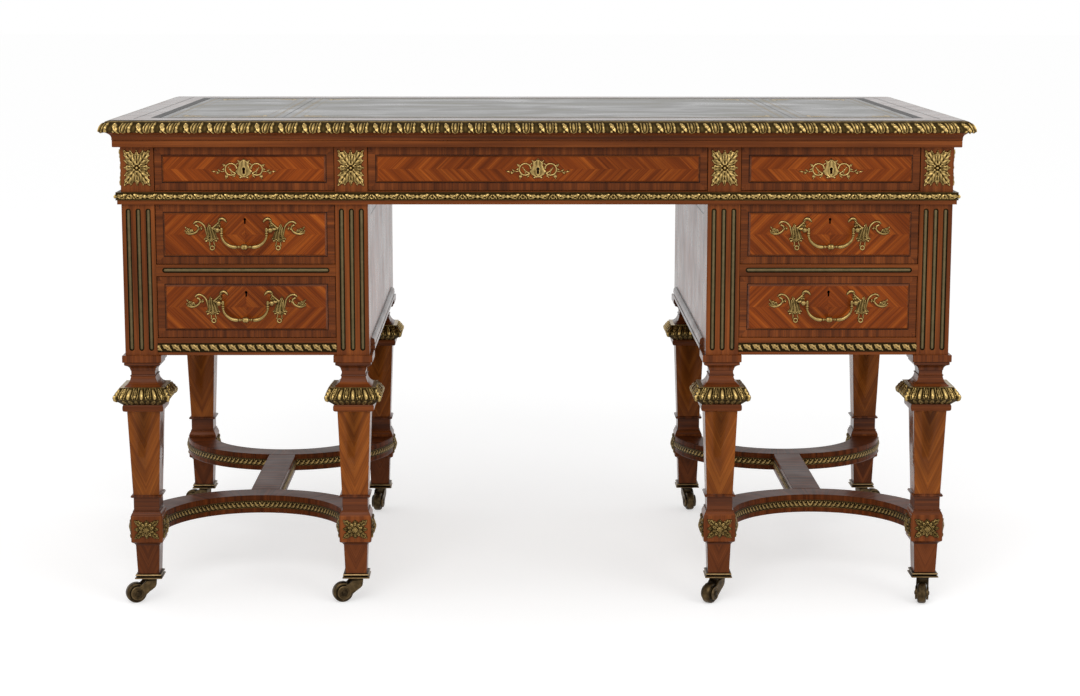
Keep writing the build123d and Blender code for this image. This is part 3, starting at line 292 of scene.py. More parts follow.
# ---------------------------------------------------------------- meshes
class Piece:
    """Gathers the faces of one piece, then makes the object that rides on a body."""

    def __init__(self, name, body, slot, nodes=()):
        self.name, self.body, self.slot, self.nodes = name, body, slot, nodes
        self.points, self.loops, self.sizes, self.grain, self.wear, self.finish = [], [], [], [], [], []
        self.finishes, self.count = [], 0

    def add(self, points, faces, finish, grain=None, wear=0.62):
        """Add faces, given as rows of indices into points; grain is a pair for each point."""
        points = np.asarray(points, float).reshape(-1, 3)
        faces = [np.asarray(face, int) for face in faces] if isinstance(faces, list) else faces
        loops = np.concatenate(faces) if isinstance(faces, list) else faces.ravel()
        sizes = [len(face) for face in faces]
        if finish not in self.finishes:
            self.finishes.append(finish)
        grain = np.zeros((len(points), 2)) if grain is None else grain
        self.points.append(points)
        self.loops.append(loops + self.count)
        self.sizes.append(np.array(sizes))
        self.grain.append(np.asarray(grain)[loops])
        self.wear.append(np.broadcast_to(np.asarray(wear, float), (len(points),)))
        self.finish.append(np.full(len(sizes), self.finishes.index(finish)))
        self.count += len(points)

    def make(self):
        """Make the mesh, join its seams and set its sharp edges."""
        loops, sizes = np.concatenate(self.loops), np.concatenate(self.sizes)
        mesh = bpy.data.meshes.new(self.name)
        mesh.vertices.add(self.count)
        mesh.vertices.foreach_set("co", np.concatenate(self.points).ravel())
        mesh.loops.add(len(loops))
        mesh.loops.foreach_set("vertex_index", loops)
        mesh.polygons.add(len(sizes))
        mesh.polygons.foreach_set("loop_start", np.cumsum(sizes) - sizes)
        mesh.update(calc_edges=True)
        mesh.uv_layers.new(name="grain").data.foreach_set("uv", np.concatenate(self.grain).ravel())
        wear = mesh.attributes.new("wear", "FLOAT", "POINT")
        wear.data.foreach_set("value", np.concatenate(self.wear))
        for finish in self.finishes:
            mesh.materials.append(FINISH[finish])
        mesh.polygons.foreach_set("material_index", np.concatenate(self.finish))
        mesh.polygons.foreach_set("use_smooth", np.ones(len(sizes), bool))
        work = bmesh.new()
        work.from_mesh(mesh)
        bmesh.ops.remove_doubles(work, verts=work.verts, dist=SEAM)
        work.to_mesh(mesh)
        work.free()
        mesh.set_sharp_from_angle(angle=SHARP)
        made = bpy.data.objects.new(self.name, mesh)
        bpy.context.scene.collection.objects.link(made)
        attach(made, self.body)
        if self.nodes:
            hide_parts(*self.nodes)
        return made


class Face:
    """A working plane: a to the right, b upwards and c towards the viewer."""

    def __init__(self, origin, a, b):
        self.origin, self.a, self.b = np.array(origin, float), np.array(a, float), np.array(b, float)
        self.c = np.cross(self.a, self.b)

    def __call__(self, a, b, c=0.0):
        a, b, c = np.broadcast_arrays(np.asarray(a, float), b, c)
        return self.origin + a[..., None] * self.a + b[..., None] * self.b + c[..., None] * self.c

    def at(self, a, b, c=0.0):
        """The same plane moved within itself."""
        return Face(self(a, b, c), self.a, self.b)


def upright(x, y, z, facing):
    """An upright plane that looks along facing, a pair of -1, 0 or 1."""
    return Face((x, y, z), (-facing[1], facing[0], 0), (0, 0, 1))


def polygon(piece, points, finish, along, shift, centre):
    """One flat face that looks away from centre, with its grain along a direction."""
    points = np.asarray(points, float)
    normal = np.cross(points[1] - points[0], points[2] - points[0])
    normal /= np.linalg.norm(normal)
    if normal @ (points.mean(0) - centre) < 0:
        points, normal = points[::-1], -normal
    along = np.asarray(along, float)
    along = along - normal * (along @ normal)
    if np.linalg.norm(along) < 0.05:
        along = np.cross(normal, (0.3, 0.5, 0.8))
    along = along / np.linalg.norm(along)
    grain = np.column_stack([points @ along, points @ np.cross(normal, along)]) + shift
    piece.add(points, [range(len(points))], finish, grain)


def board(piece, x, y, z, finish, along="x", bevel=0.5 * MM):
    """A board with eased edges from pairs of limits."""
    low, high = np.array([x[0], y[0], z[0]]), np.array([x[1], y[1], z[1]])
    centre, half = (low + high) / 2, (high - low) / 2
    shift = rng.uniform(0, 4, 2)
    grain = np.eye(3)["xyz".index(along)]

    def corner(signs, full):
        inset = np.full(3, bevel)
        inset[full] = 0
        return centre + np.array(signs) * (half - inset)

    for axis in range(3):
        others = [i for i in range(3) if i != axis]
        for sign in SIDES:
            ring = []
            for first, second in ((-1, -1), (1, -1), (1, 1), (-1, 1)):
                signs = [0, 0, 0]
                signs[axis], signs[others[0]], signs[others[1]] = sign, first, second
                ring.append(corner(signs, axis))
            polygon(piece, ring, finish, grain, shift, centre)
        for first, second in ((-1, -1), (1, -1), (1, 1), (-1, 1)):
            ends = []
            for sign in SIDES:
                signs = [0, 0, 0]
                signs[axis], signs[others[0]], signs[others[1]] = sign, first, second
                ends.append((corner(signs, others[0]), corner(signs, others[1])))
            polygon(piece, [ends[0][0], ends[1][0], ends[1][1], ends[0][1]], finish, grain, shift, centre)
    for signs in np.ndindex(2, 2, 2):
        signs = [2 * sign - 1 for sign in signs]
        polygon(piece, [corner(signs, axis) for axis in range(3)], finish, grain, shift, centre)


def inset_outline(outline, distance):
    """A counter-clockwise outline moved inwards."""
    edge = np.roll(outline, -1, 0) - outline
    edge /= np.maximum(np.linalg.norm(edge, axis=1), 1e-12)[:, None]
    normal = np.column_stack([-edge[:, 1], edge[:, 0]])
    before = np.roll(normal, 1, 0)
    mitre = normal + before
    mitre /= np.maximum((mitre * mitre).sum(1), 0.35)[:, None] / 2
    return outline + mitre * distance


def plate(piece, face, outline, low, high, finish, along=(1, 0), bevel=0.3 * MM, cap=True):
    """An outline in a face, raised from low to high, with an eased rim; without cap it is only the rim."""
    outline = np.asarray(outline, float)
    following = np.roll(outline, -1, 0)
    if (outline[:, 0] * following[:, 1] - outline[:, 1] * following[:, 0]).sum() < 0:
        outline = outline[::-1]
    count = len(outline)
    rings = [(outline, low), (outline, high - bevel)]
    if bevel:
        rings.append((inset_outline(outline, bevel), high))
    points = np.concatenate([face(ring[:, 0], ring[:, 1], level) for ring, level in rings])
    along = np.array(along, float) / np.hypot(*along)
    turn = np.array([[along[0], -along[1]], [along[1], along[0]]])
    shift = rng.uniform(0, 4, 2)
    grain = np.concatenate([ring @ turn + shift + [0, level] for ring, level in rings])
    faces = grid_faces(len(rings), count, wrap=True).tolist()
    if cap:
        faces += [list(range(count))[::-1], [len(points) - count + index for index in range(count)]]
    piece.add(points, faces, finish, grain)


def rectangle(a, b):
    """Corners of a rectangle from pairs of limits."""
    return [(a[0], b[0]), (a[1], b[0]), (a[1], b[1]), (a[0], b[1])]


def mitred_border(piece, face, outer, width, low, high, finish, across=True, bevel=0.0):
    """Four mitred strips inside a rectangle of half sizes, crossbanded or lengthwise."""
    (half_a, half_b), inner = outer, (outer[0] - width, outer[1] - width)
    for sign in SIDES:
        level = [(-half_a, sign * half_b), (half_a, sign * half_b), (inner[0], sign * inner[1]),
                 (-inner[0], sign * inner[1])]
        upright_strip = [(sign * half_a, -half_b), (sign * half_a, half_b), (sign * inner[0], inner[1]),
                         (sign * inner[0], -inner[1])]
        plate(piece, face, level, low, high, finish, (0, 1) if across else (1, 0), bevel)
        plate(piece, face, upright_strip, low, high, finish, (1, 0) if across else (0, 1), bevel)
    return inner


def quartered(piece, face, half, low, high, hole=None):
    """Four book-matched quarters whose stripes make a diamond; hole is half a keyhole's outline."""
    lean = math.pi / 4
    for side in SIDES:
        for end in SIDES:
            corners = [(0.0, 0.0), (half[0], 0.0), (half[0], end * half[1]), (0.0, end * half[1])]
            if hole is not None:
                part = [point for point in hole if point[1] * end >= 0]
                if part and end > 0:
                    on_joint = abs(part[-1][1]) < 1e-9
                    corners = corners[1 if on_joint else 0:] + part
                elif part:
                    corners = corners[1:] + part[::-1]
            outline = [(side * a, b) for a, b in corners]
            stripes = (math.cos(lean), -side * end * math.sin(lean))
            plate(piece, face, outline, low, high, "kingwood", stripes, 0.0)


def veneered_panel(piece, face, half, border=22 * MM):
    """A crossbanded border, a dark line and a quartered field, on a panel of half sizes."""
    inner = mitred_border(piece, face, half, border, -VENEER, 0, "crossbanding")
    inner = mitred_border(piece, face, inner, 1.6 * MM, -VENEER, 0, "inlay", across=False)
    quartered(piece, face, inner, -VENEER, 0)


def tube(piece, path, radii, finish, sides=14, wear=0.7):
    """A round bar along a path, closed at its ends."""
    path, radii = np.asarray(path, float), np.asarray(radii, float)
    tangent = np.gradient(path, axis=0)
    tangent /= np.linalg.norm(tangent, axis=1)[:, None]
    normal = np.cross(tangent[0], (0.31, 0.52, 0.79))
    rings = []
    turn = np.linspace(0, 2 * math.pi, sides, endpoint=False)
    for at, along, radius in zip(path, tangent, radii):
        normal = normal - along * (normal @ along)
        normal /= np.linalg.norm(normal)
        side = np.cross(along, normal)
        rings.append(at + radius * (np.cos(turn)[:, None] * normal + np.sin(turn)[:, None] * side))
    points = np.concatenate(rings)
    swell = np.repeat(wear + 0.25 * (radii - radii.mean()) / max(np.ptp(radii), 1e-6), sides)
    faces = grid_faces(len(path), sides, wrap=True)
    piece.add(points, faces, finish, wear=swell)
    last = len(points) - sides
    ends = [list(range(sides))[::-1], list(range(last, last + sides))]
    piece.add(points, ends, finish, wear=swell)


def grid_faces(rows, columns, wrap=False):
    """Quads of a grid of points stored row by row."""
    across = columns if wrap else columns - 1
    row, column = np.meshgrid(np.arange(rows - 1), np.arange(across), indexing="ij")
    row, column = row.ravel(), column.ravel()
    following = (column + 1) % columns
    near, far = row * columns, (row + 1) * columns
    return np.column_stack([near + column, near + following, far + following, far + column])


def lathe(piece, origin, axis, profile, finish, sides, wear=0.6):
    """A turned piece: profile is a list of (radius, height along the axis) in millimetres."""
    axis = np.asarray(axis, float) / np.linalg.norm(axis)
    first = np.cross(axis, (0.31, 0.52, 0.79))
    first /= np.linalg.norm(first)
    second = np.cross(axis, first)
    turn = np.linspace(0, 2 * math.pi, sides, endpoint=False)
    spoke = np.cos(turn)[:, None] * first + np.sin(turn)[:, None] * second
    radii, heights = np.array(profile, float).T * MM
    points = np.asarray(origin) + radii[:, None, None] * spoke + heights[:, None, None] * axis
    level = wear + 0.3 * (radii / radii.max() - 0.7)
    piece.add(points.reshape(-1, 3), grid_faces(len(profile), sides, wrap=True), finish,
              wear=np.repeat(level, sides))


# ---------------------------------------------------------------- relief
def burnish(height):
    """Wear from a field of heights: crests catch the polish and hollows keep their patina."""
    blurred = height.copy()
    for _ in range(2):
        padded = np.pad(blurred, 2, mode="edge")
        windows = np.lib.stride_tricks.sliding_window_view(padded, height.shape)
        blurred = sum(windows[i, j] for i in range(5) for j in range(5)) / 25
    top = max(height.max(), 1e-9)
    return np.clip(0.3 + 0.3 * height / top + 2.0 * (height - blurred) / top, 0, 1)


def highest(*shapes):
    """The upper surface of several reliefs."""
    return np.maximum.reduce(shapes)


def dome(a, b, at, size, height):
    """A half egg."""
    q = ((a - at[0]) / size[0]) ** 2 + ((b - at[1]) / size[1]) ** 2
    return height * np.sqrt(np.clip(1 - q, 0, None))


def ridge(a, b, path, radii, lift=1.0):
    """A rounded bar along a line of points, thick as its radii say."""
    height = np.zeros(np.broadcast(a, b).shape)
    for (p, q), (r0, r1) in zip(zip(path, path[1:]), zip(radii, radii[1:])):
        run = np.subtract(q, p)
        share = np.clip(((a - p[0]) * run[0] + (b - p[1]) * run[1]) / (run @ run), 0, 1)
        radius = r0 + (r1 - r0) * share
        away = (a - p[0] - share * run[0]) ** 2 + (b - p[1] - share * run[1]) ** 2
        height = np.maximum(height, lift * np.sqrt(np.clip(radius ** 2 - away, 0, None)))
    return height


def leaf(a, b, base, tip, width, height, lobes=4, curl=0.0):
    """An acanthus leaf with a lobed outline, a sunk midrib and ribs."""
    base, run = np.asarray(base), np.subtract(tip, base)
    length = np.hypot(*run)
    q = ((a - base[0]) * run[0] + (b - base[1]) * run[1]) / length ** 2
    p = ((b - base[1]) * run[0] - (a - base[0]) * run[1]) / length
    inside = np.clip(q, 0, 1)
    p = p - curl * length * np.sin(math.pi * inside / 2) ** 2
    half = width / 2 * np.sin(math.pi * inside ** 0.75) ** 0.8
    half = half * (1 - 0.3 * np.abs(np.sin(math.pi * lobes * inside)))
    share = np.abs(p) / np.maximum(half, 1e-6)
    body = np.sqrt(np.clip(1 - share ** 2, 0, 1))
    ribs = 0.16 * np.cos(2 * math.pi * (lobes * inside - 0.8 * share))
    vein = 0.4 * np.exp(-(share / 0.16) ** 2)
    return np.where((share < 1) & (q > 0) & (q < 1), height * (0.3 + body * (0.72 + ribs) - vein), 0)


def leaves(a, b, rows, height, lobes):
    """Several leaves, from rows of (base, tip, width)."""
    return highest(*(leaf(a, b, *row, height, lobes) for row in rows))


def arc(centre, radius, start, end, count=14, shrink=1.0):
    """Points along an arc or a spiral, in degrees."""
    turn = np.radians(np.linspace(start, end, count))
    reach = radius * np.linspace(1, shrink, count)
    return [(centre[0] + r * math.cos(t), centre[1] + r * math.sin(t)) for r, t in zip(reach, turn)]


def taper(path, start, end):
    """Radii that change evenly along a path."""
    return list(np.linspace(start, end, len(path)))


def casting(width, height, step, relief, floor=0.25, polish=0.0):
    """A modelled plate, drawn in millimetres, as points, faces and wear; its bare ground is left out."""
    step, floor = step * MM, floor * MM
    a, b = (np.arange(low * MM, high * MM + step / 2, step) for low, high in (width, height))
    grid_a, grid_b = np.meshgrid(a, b, indexing="ij")
    rise = relief(grid_a / MM, grid_b / MM) * MM
    faces = grid_faces(len(a), len(b))
    faces = faces[(rise.ravel()[faces] > 0).any(1)]
    used, flat = np.unique(faces, return_inverse=True)
    faces = flat.reshape(-1, 4)
    top = np.column_stack([grid_a.ravel(), grid_b.ravel(), rise.ravel() - floor])[used]
    base = top.copy()
    base[:, 2] = -floor
    wear = burnish(rise).ravel()[used] + polish
    count = len(top)
    points = np.concatenate([top, base])
    return points, np.concatenate([faces[:, ::-1], faces + count]), np.concatenate([wear, wear])


def stamp(piece, cast, face, mirror=False, finish="ormolu"):
    """Put a casting on a face."""
    points, faces, wear = cast
    side = -1 if mirror else 1
    placed = face(side * points[:, 0], points[:, 1], points[:, 2])
    piece.add(placed, faces[:, ::-1] if mirror else faces, finish, wear=wear)


def relief_run(piece, place, columns, profile, relief, rows, caps=False, finish="ormolu"):
    """A modelled moulding: place turns (share of its length, out, z) into points."""
    corners = np.array(profile, float)
    run = distances(corners)
    at = np.linspace(0, run[-1], rows)
    out, z = np.interp(at, run, corners[:, 0]), np.interp(at, run, corners[:, 1])
    slope_out, slope_z = np.gradient(out), np.gradient(z)
    length = np.hypot(slope_out, slope_z)
    share, t = np.meshgrid(np.linspace(0, 1, columns + 1), at / run[-1], indexing="ij")
    height = relief(share, t)
    outs = np.pad(out + height * slope_z / length, ((0, 0), (1, 1)))
    rises = np.pad(z - height * slope_out / length, ((0, 0), (1, 1)), mode="edge")
    wear = np.pad(burnish(height), ((0, 0), (1, 1)), mode="edge").ravel()
    shares = np.broadcast_to(share[:, :1], outs.shape)
    points = place(shares, outs, rises).reshape(-1, 3)
    ring = rows + 2
    piece.add(points, grid_faces(columns + 1, ring, wrap=True)[:, ::-1], finish, wear=wear)
    if caps:
        last = columns * ring
        piece.add(points, [range(ring), range(last, last + ring)[::-1]], finish, wear=wear)


def ring_sides(half_x, half_y, centre=(0.0, 0.0)):
    """Place functions of the four mitred sides round a rectangle, with their half lengths."""
    def side(half, reach, cos, sin):
        def place(share, out, z):
            along, away = (2 * share - 1) * (half + out), -(reach + out)
            x, y = centre[0] + along * cos - away * sin, centre[1] + along * sin + away * cos
            return np.stack([x, y, z], -1)
        return place, half

    return [side(half_x, half_y, 1, 0), side(half_y, half_x, 0, 1),
            side(half_x, half_y, -1, 0), side(half_y, half_x, 0, -1)]


def distances(corners):
    """Distances along a line of corners."""
    return np.concatenate([[0], np.cumsum(np.hypot(*np.diff(corners, axis=0).T))])


def wooden_ring(piece, profile, finish):
    """A mitred wooden moulding round the case, from (out, z) corners, with its grain lengthwise."""
    corners = np.array([(0, profile[0][1]), *profile, (0, profile[-1][1])], float)
    run = distances(corners)
    for place, half in ring_sides(CASE_X, CASE_Y):
        shift = rng.uniform(0, 4, 2)
        share = np.repeat([[0.0], [1.0]], len(corners), 1)
        points = place(share, np.tile(corners[:, 0], (2, 1)), np.tile(corners[:, 1], (2, 1)))
        along = (2 * share - 1) * half
        around = np.tile(run, (2, 1))
        grain = np.stack([along, around], -1).reshape(-1, 2) + shift
        piece.add(points.reshape(-1, 3), grid_faces(2, len(corners), wrap=True)[:, ::-1], finish, grain)


def curve(start, end, bulge, count=7):
    """Corners of a rounded stretch of a profile; bulge is how far it leaves the chord."""
    start, end = np.array(start, float), np.array(end, float)
    chord = end - start
    normal = np.array([chord[1], -chord[0]]) / np.hypot(*chord)
    share = np.linspace(0, 1, count)
    return [tuple(start + chord * s + normal * bulge * math.sin(math.pi * s)) for s in share]


# ---------------------------------------------------------------- top
Z_VENEER = span_z("writing_leather")[0]
TOP_BANDS = ((31.0 * MM, "top_border"), (2.0 * MM, "inlay"), (21.0 * MM, "top_border"))
HIDE_SPLIT = 405 * MM
HIDE_DROP = 0.15 * MM      # tooled surface below the veneer
LEVEL = Face((0, 0, 0), (1, 0, 0), (0, 1, 0))
EDGE_PERIOD = 36.5         # lengths of one motif, in millimetres
WAIST_PERIOD = 47.5
ROPE_PERIOD = 14.7
LAUREL_PERIOD = 9
LAUREL_DEPTH = 14.4


def top_veneers():
    """Ground board, crossbanded border with its dark line, and the dark frame round the leather."""
    piece = Piece("top_veneers", "carcass", "crossbanding", ["top_board"])
    board(piece, (-TOP_X, TOP_X), (-TOP_Y, TOP_Y), (Z_TOP, Z_VENEER), "carcass_wood")
    half = (TOP_X, TOP_Y)
    for width, finish in TOP_BANDS:
        half = mitred_border(piece, LEVEL, half, width, Z_VENEER, HEIGHT, finish, across=finish != "inlay")
    mitred_border(piece, LEVEL, half, half[0] - LEATHER_X, Z_VENEER, HEIGHT, "inlay", across=False)
    piece.make()


def fleuron(a, b):
    """Corner ornament of the tooling, drawn in millimetres from the corner of its lines."""
    scrolls = (arc((24, 13), 6, -60, 230, shrink=0.5), arc((13, 24), 6, 150, -140, shrink=0.5))
    height = highest(
        leaves(a, b, [((3, 3), (30, 30), 13), ((8, 3), (44, 6), 9), ((3, 8), (6, 44), 9)], 1, 5),
        *(ridge(a, b, path, taper(path, 1.1, 0.7)) for path in scrolls))
    return np.clip(height, 0, 1) * 0.12


def hides():
    """Three hides with gold-tooled lines and a fleuron in each corner."""
    piece = Piece("tooled_hides", "carcass", "leather", ["writing_leather"])
    surface = HEIGHT - HIDE_DROP
    points, faces, wear = casting((0, 46), (0, 46), 1.6, fleuron, 0.02)
    edges = (-LEATHER_X, -HIDE_SPLIT, HIDE_SPLIT, LEATHER_X)
    for left, right in zip(edges, edges[1:]):
        face = Face(((left + right) / 2, 0, surface), (1, 0, 0), (0, 1, 0))
        half = ((right - left) / 2, LEATHER_Y)
        hide = rectangle((-half[0], half[0]), (-half[1], half[1]))
        plate(piece, face, hide, Z_VENEER - surface, 0, "leather", bevel=0.7 * MM)
        for inset, width in ((11 * MM, 0.7 * MM), (14 * MM, 1.6 * MM), (27 * MM, 0.7 * MM)):
            outer = (half[0] - inset, half[1] - inset)
            mitred_border(piece, face, outer, width, -0.2 * MM, 0.08 * MM, "tooling", across=False)
        for side in SIDES:
            for end in SIDES:
                at = face(side * (half[0] - 29 * MM), end * (half[1] - 29 * MM))
                turned = Face(at, (-side, 0, 0), (0, -end, 0))
                turned.c = face.c
                ordered = faces if side == end else faces[:, ::-1]
                stamp(piece, (points, ordered, wear), turned, finish="tooling")
    for side in SIDES:
        seam = (side * HIDE_SPLIT - 0.8 * MM, side * HIDE_SPLIT + 0.8 * MM)
        board(piece, seam, (-LEATHER_Y, LEATHER_Y), (Z_VENEER, surface + 0.04 * MM), "inlay", "y", 0.02 * MM)
    piece.make()


def repeated(motif, length, period, profile, drawn=None):
    """A whole number of motifs along a moulding, drawn in millimetres about 0 and some width deep."""
    count = max(round(length / (period * MM)), 1)
    depth = drawn * MM if drawn else np.hypot(*np.diff(np.array(profile), axis=0).T).sum()

    def relief(share, t):
        a = ((share * count + 0.5) % 1 - 0.5) * length / count
        return motif(a / MM, t * depth / MM) * MM

    return relief, count


def gadroon(a, b):
    """Edge of the top: an egg in a raised rim, a bead between leaves, and a slanting leaf."""
    rim = [(-4.6, 21.0), (-4.7, 11.0), (-3.4, 6.2), (0, 3.8), (3.4, 6.2), (4.7, 11.0), (4.6, 21.0)]
    shifts = (0, EDGE_PERIOD)
    return np.minimum(2.5, highest(
        ridge(a, b, rim, [1.2] * len(rim)),
        dome(a, b, (0, 13.5), (3.3, 8.0), 1.5),
        ridge(a, b, [(0, 7.0), (0, 20.0)], [1.1, 0.8], 1.9),
        dome(a, b, (9.3, 13.0), (2.3, 2.6), 2.3),
        leaf(a, b, (9.3, 11), (9.6, 3.2), 6.0, 1.7, 2),
        leaf(a, b, (9.3, 15), (8.8, 22.5), 5.0, 1.6, 2),
        *(leaf(a, b, (-16.5 + shift, 20.5), (-7.2 + shift, 4.2), 8.0, 2.4, 3) for shift in shifts),
        *(dome(a, b, (-14.2 + shift, 6.5), (2.2, 2.6), 1.4) for shift in shifts),
        0.9 * np.exp(-((b - 24.6) / 0.9) ** 2)))


def edge_mount():
    """Gilt-bronze edge of the top, in four mitred lengths."""
    piece = Piece("gadrooned_edge", "carcass", "ormolu", ["top_edge_gadroon"])
    nose = EDGE_OUT - 2.6 * MM
    levels = ((9.0, 0.3), (13.8, 0.5), (15.1, 2.0), (14.9, 4.8), (13.4, 9.5), (10.2, 13.8), (5.6, 17.2),
              (0.6, 18.9))
    profile = [(out / 15.1 * nose, Z_TOP + z * MM) for out, z in levels]
    for place, half in ring_sides(TOP_X, TOP_Y):
        relief, count = repeated(gadroon, 2 * half, EDGE_PERIOD, profile)
        relief_run(piece, place, count * 34, profile, relief, rows=22)
    piece.make()


def cornice():
    """Cove and fascia between the frieze and the gilt edge."""
    piece = Piece("cornice_mouldings", "carcass", "crossbanding", ["cornice"])
    out = 10.5 * MM
    top = Z_FASCIA + 15.4 * MM
    fascia = [(out - 0.8 * MM, Z_FASCIA), (out, Z_FASCIA + 0.8 * MM), (out, top - 5.2 * MM)]
    wooden_ring(piece, fascia, "post_wood")
    sweep = curve((out + 0.4 * MM, top - 4.4 * MM), (COVE_OUT, Z_TOP - 1.2 * MM), -2.4 * MM)
    wooden_ring(piece, [(out - 1 * MM, top - 5.2 * MM), *sweep, (COVE_OUT, Z_TOP)], "crossbanding")
    piece.make()


# ---------------------------------------------------------------- carcass
FLUTE_R = 4.1 * MM
FLUTE_LINING_AND_SHADE = (           # share of the flute's radius, depth in millimetres, and wear, which is lowest in the hollow round the reed as painted shade
    (1.0, 0.0, 0.2), (0.97, 1.3, 0.04), (0.86, 2.3, 0.0), (0.74, 2.0, 0.08),
    (0.6, 1.2, 0.2), (0.4, 0.6, 0.33), (0.2, 0.35, 0.42), (0.002, 0.3, 0.45))
FLUTE_PITCH = 15.6 * MM
FLUTE_GAP = 7 * MM
FRIEZE_BORDER = 14 * MM
RAIL_LIP = 3 * MM


def stadium(at, low, high, radius, count=9):
    """Outline of an upright flute between the middles of its round ends."""
    turn = np.linspace(0, math.pi, count)
    top = np.column_stack([at + radius * np.cos(turn), high + radius * np.sin(turn)])
    foot = np.column_stack([at - radius * np.cos(turn), low - radius * np.sin(turn)])
    return np.concatenate([top, foot])


def groove(piece, face, at, low, high):
    """The brass reed that lies in a flute, with a hollow round it painted dark as shade."""
    loops = [stadium(at, low, high, FLUTE_R * share) for share, _, _ in FLUTE_LINING_AND_SHADE]
    points = [face(loop[:, 0], loop[:, 1], -deep * MM) for loop, (_, deep, _) in zip(loops, FLUTE_LINING_AND_SHADE)]
    # wear from the table is low in the hollow round the reed: painted shade
    wear = np.repeat([level for _, _, level in FLUTE_LINING_AND_SHADE], len(loops[0]))
    faces = grid_faces(len(loops), len(loops[0]), wrap=True)
    piece.add(np.concatenate(points), faces, "brass_inlay", wear=wear)


def fluted_face(wood_piece, brass_piece, face, half, low, high, along, flutes, gap=FLUTE_GAP):
    """A flat face with flutes cut into it; flutes holds their places across."""
    foot, head = low + gap + FLUTE_R, high - gap - FLUTE_R
    direction = face(along[0], along[1]) - face.origin
    behind = face(0, (low + high) / 2, -1)
    edges = [-half] + [at + side * FLUTE_R for at in flutes for side in SIDES] + [half]
    shift = rng.uniform(0, 4, 2)
    for left, right in zip(edges[::2], edges[1::2]):
        strip = rectangle((left, right), (low, high))
        polygon(wood_piece, [face(*point) for point in strip], "post_wood", direction, shift, behind)
    for at in flutes:
        outline = stadium(at, foot, head, FLUTE_R)
        top, base = outline[:9], outline[9:]
        above = [(at - FLUTE_R, head), (at - FLUTE_R, high), (at + FLUTE_R, high), *top[:-1]]
        below = [(at + FLUTE_R, foot), (at + FLUTE_R, low), (at - FLUTE_R, low), *base[:-1]]
        for part in (above, below):
            flat = np.array([face(*point) for point in part])
            grain = np.column_stack([flat @ direction, flat @ np.cross(face.c, direction)]) + shift
            wood_piece.add(flat, [range(len(flat))[::-1]], "post_wood", grain)
        groove(brass_piece, face, at, foot, head)


def post_facings(x, y):
    """The four ways a post looks, and whether each is an outward, fluted one."""
    outward = [(0, int(math.copysign(1, y)))]
    if abs(x) > LEG_INNER + MM:
        outward.append((int(math.copysign(1, x)), 0))
    return [(facing, facing in outward) for facing in ((0, -1), (0, 1), (-1, 0), (1, 0))]


def posts():
    """Veneered posts, fluted below the waist, and the brass linings of their flutes."""
    wooden = Piece("fluted_posts", "carcass", "kingwood", ["posts"])
    brass = Piece("flute_linings", "carcass", "brass_inlay", ["brass_flutes"])
    ease = 0.5 * MM
    for x, y, _ in LEGS.values():
        for facing, fluted in post_facings(x, y):
            face = upright(x + facing[0] * HALF_POST, y + facing[1] * HALF_POST, 0, facing)
            half = HALF_POST - ease
            shift = rng.uniform(0, 4, 2)
            behind = face(0, Z_WAIST, -1)
            if fluted:
                flutes = [step * FLUTE_PITCH for step in (-1, 0, 1)]
                fluted_face(wooden, brass, face, half, Z_CASE, Z_WAIST, (0, 1), flutes)
            plain = rectangle((-half, half), (Z_WAIST if fluted else Z_CASE, Z_TOP))
            polygon(wooden, [face(*point) for point in plain], "post_wood", (0, 0, 1), shift, behind)
            rim = [face(half, Z_CASE), face(half, Z_TOP), face(HALF_POST, Z_TOP, -ease),
                   face(HALF_POST, Z_CASE, -ease)]
            polygon(wooden, rim, "post_wood", (0, 0, 1), shift, (x, y, Z_WAIST))
        for z in (Z_CASE, Z_TOP):
            outline = [(x + a * side, y + b * end, z)
                       for side, end in ((1, 1), (-1, 1), (-1, -1), (1, -1))
                       for a, b in ((HALF_POST, half), (half, HALF_POST))[::side * end]]
            polygon(wooden, outline, "oak", (1, 0, 0), (0, 0), (x, y, Z_WAIST))
    middle, half = (Z_RAIL_LOW + Z_RAIL_HIGH) / 2, (Z_RAIL_HIGH - Z_RAIL_LOW) / 2
    for side in SIDES:
        face = Face((side * PEDESTAL_X, -CASE_Y, middle), (0, 0, 1), (-1, 0, 0))
        fluted_face(wooden, brass, face, half, -OPENING, OPENING, (0, 1), [0.0], 9.5 * MM)
        x, y = (side * PEDESTAL_X - OPENING, side * PEDESTAL_X + OPENING), (-CASE_Y, -CASE_Y + RAIL_LIP)
        for z in (Z_RAIL_LOW, Z_RAIL_HIGH):
            corners = [(*point, z) for point in rectangle(x, y)]
            polygon(wooden, corners, "post_wood", (1, 0, 0), (0, 0), (side * PEDESTAL_X, 0, middle))
    wooden.make()
    brass.make()


def drawer_opening(name):
    """Middle, half width, bottom and top of a drawer's opening."""
    low, high = limits(f"drawer_{name}")
    return (low[0] + high[0]) / 2, (high[0] - low[0]) / 2 + MM, low[2] - 0.3 * MM, high[2] + MM


Z_RAIL_LOW, Z_RAIL_HIGH = drawer_opening("lower_left")[3], drawer_opening("upper_left")[2]
Z_LOWER = drawer_opening("lower_left")[2]
Z_FRIEZE, Z_TOP_RAIL = drawer_opening("frieze_centre")[2:]
BOLT_GAP = 0.8 * MM
BOLT_TRAVEL = 8 * MM


def mortised_rail(piece, x, z, name, near=-CASE_Y):
    """A front rail with a mortise in its underside, for the bolt of the lock below."""
    low, high = limits(f"lock_bolt_{name}") + np.array([[-BOLT_GAP] * 3, [BOLT_GAP] * 3])
    behind = (low[1], high[1])
    board(piece, x, (near, low[1]), z, "post_wood")
    board(piece, x, (high[1], -INNER_Y), z, "oak")
    above = (high[2] + BOLT_TRAVEL, z[1])
    for span, levels in (((x[0], low[0]), z), ((high[0], x[1]), z), ((low[0], high[0]), above)):
        board(piece, span, behind, levels, "oak", bevel=0.02 * MM)


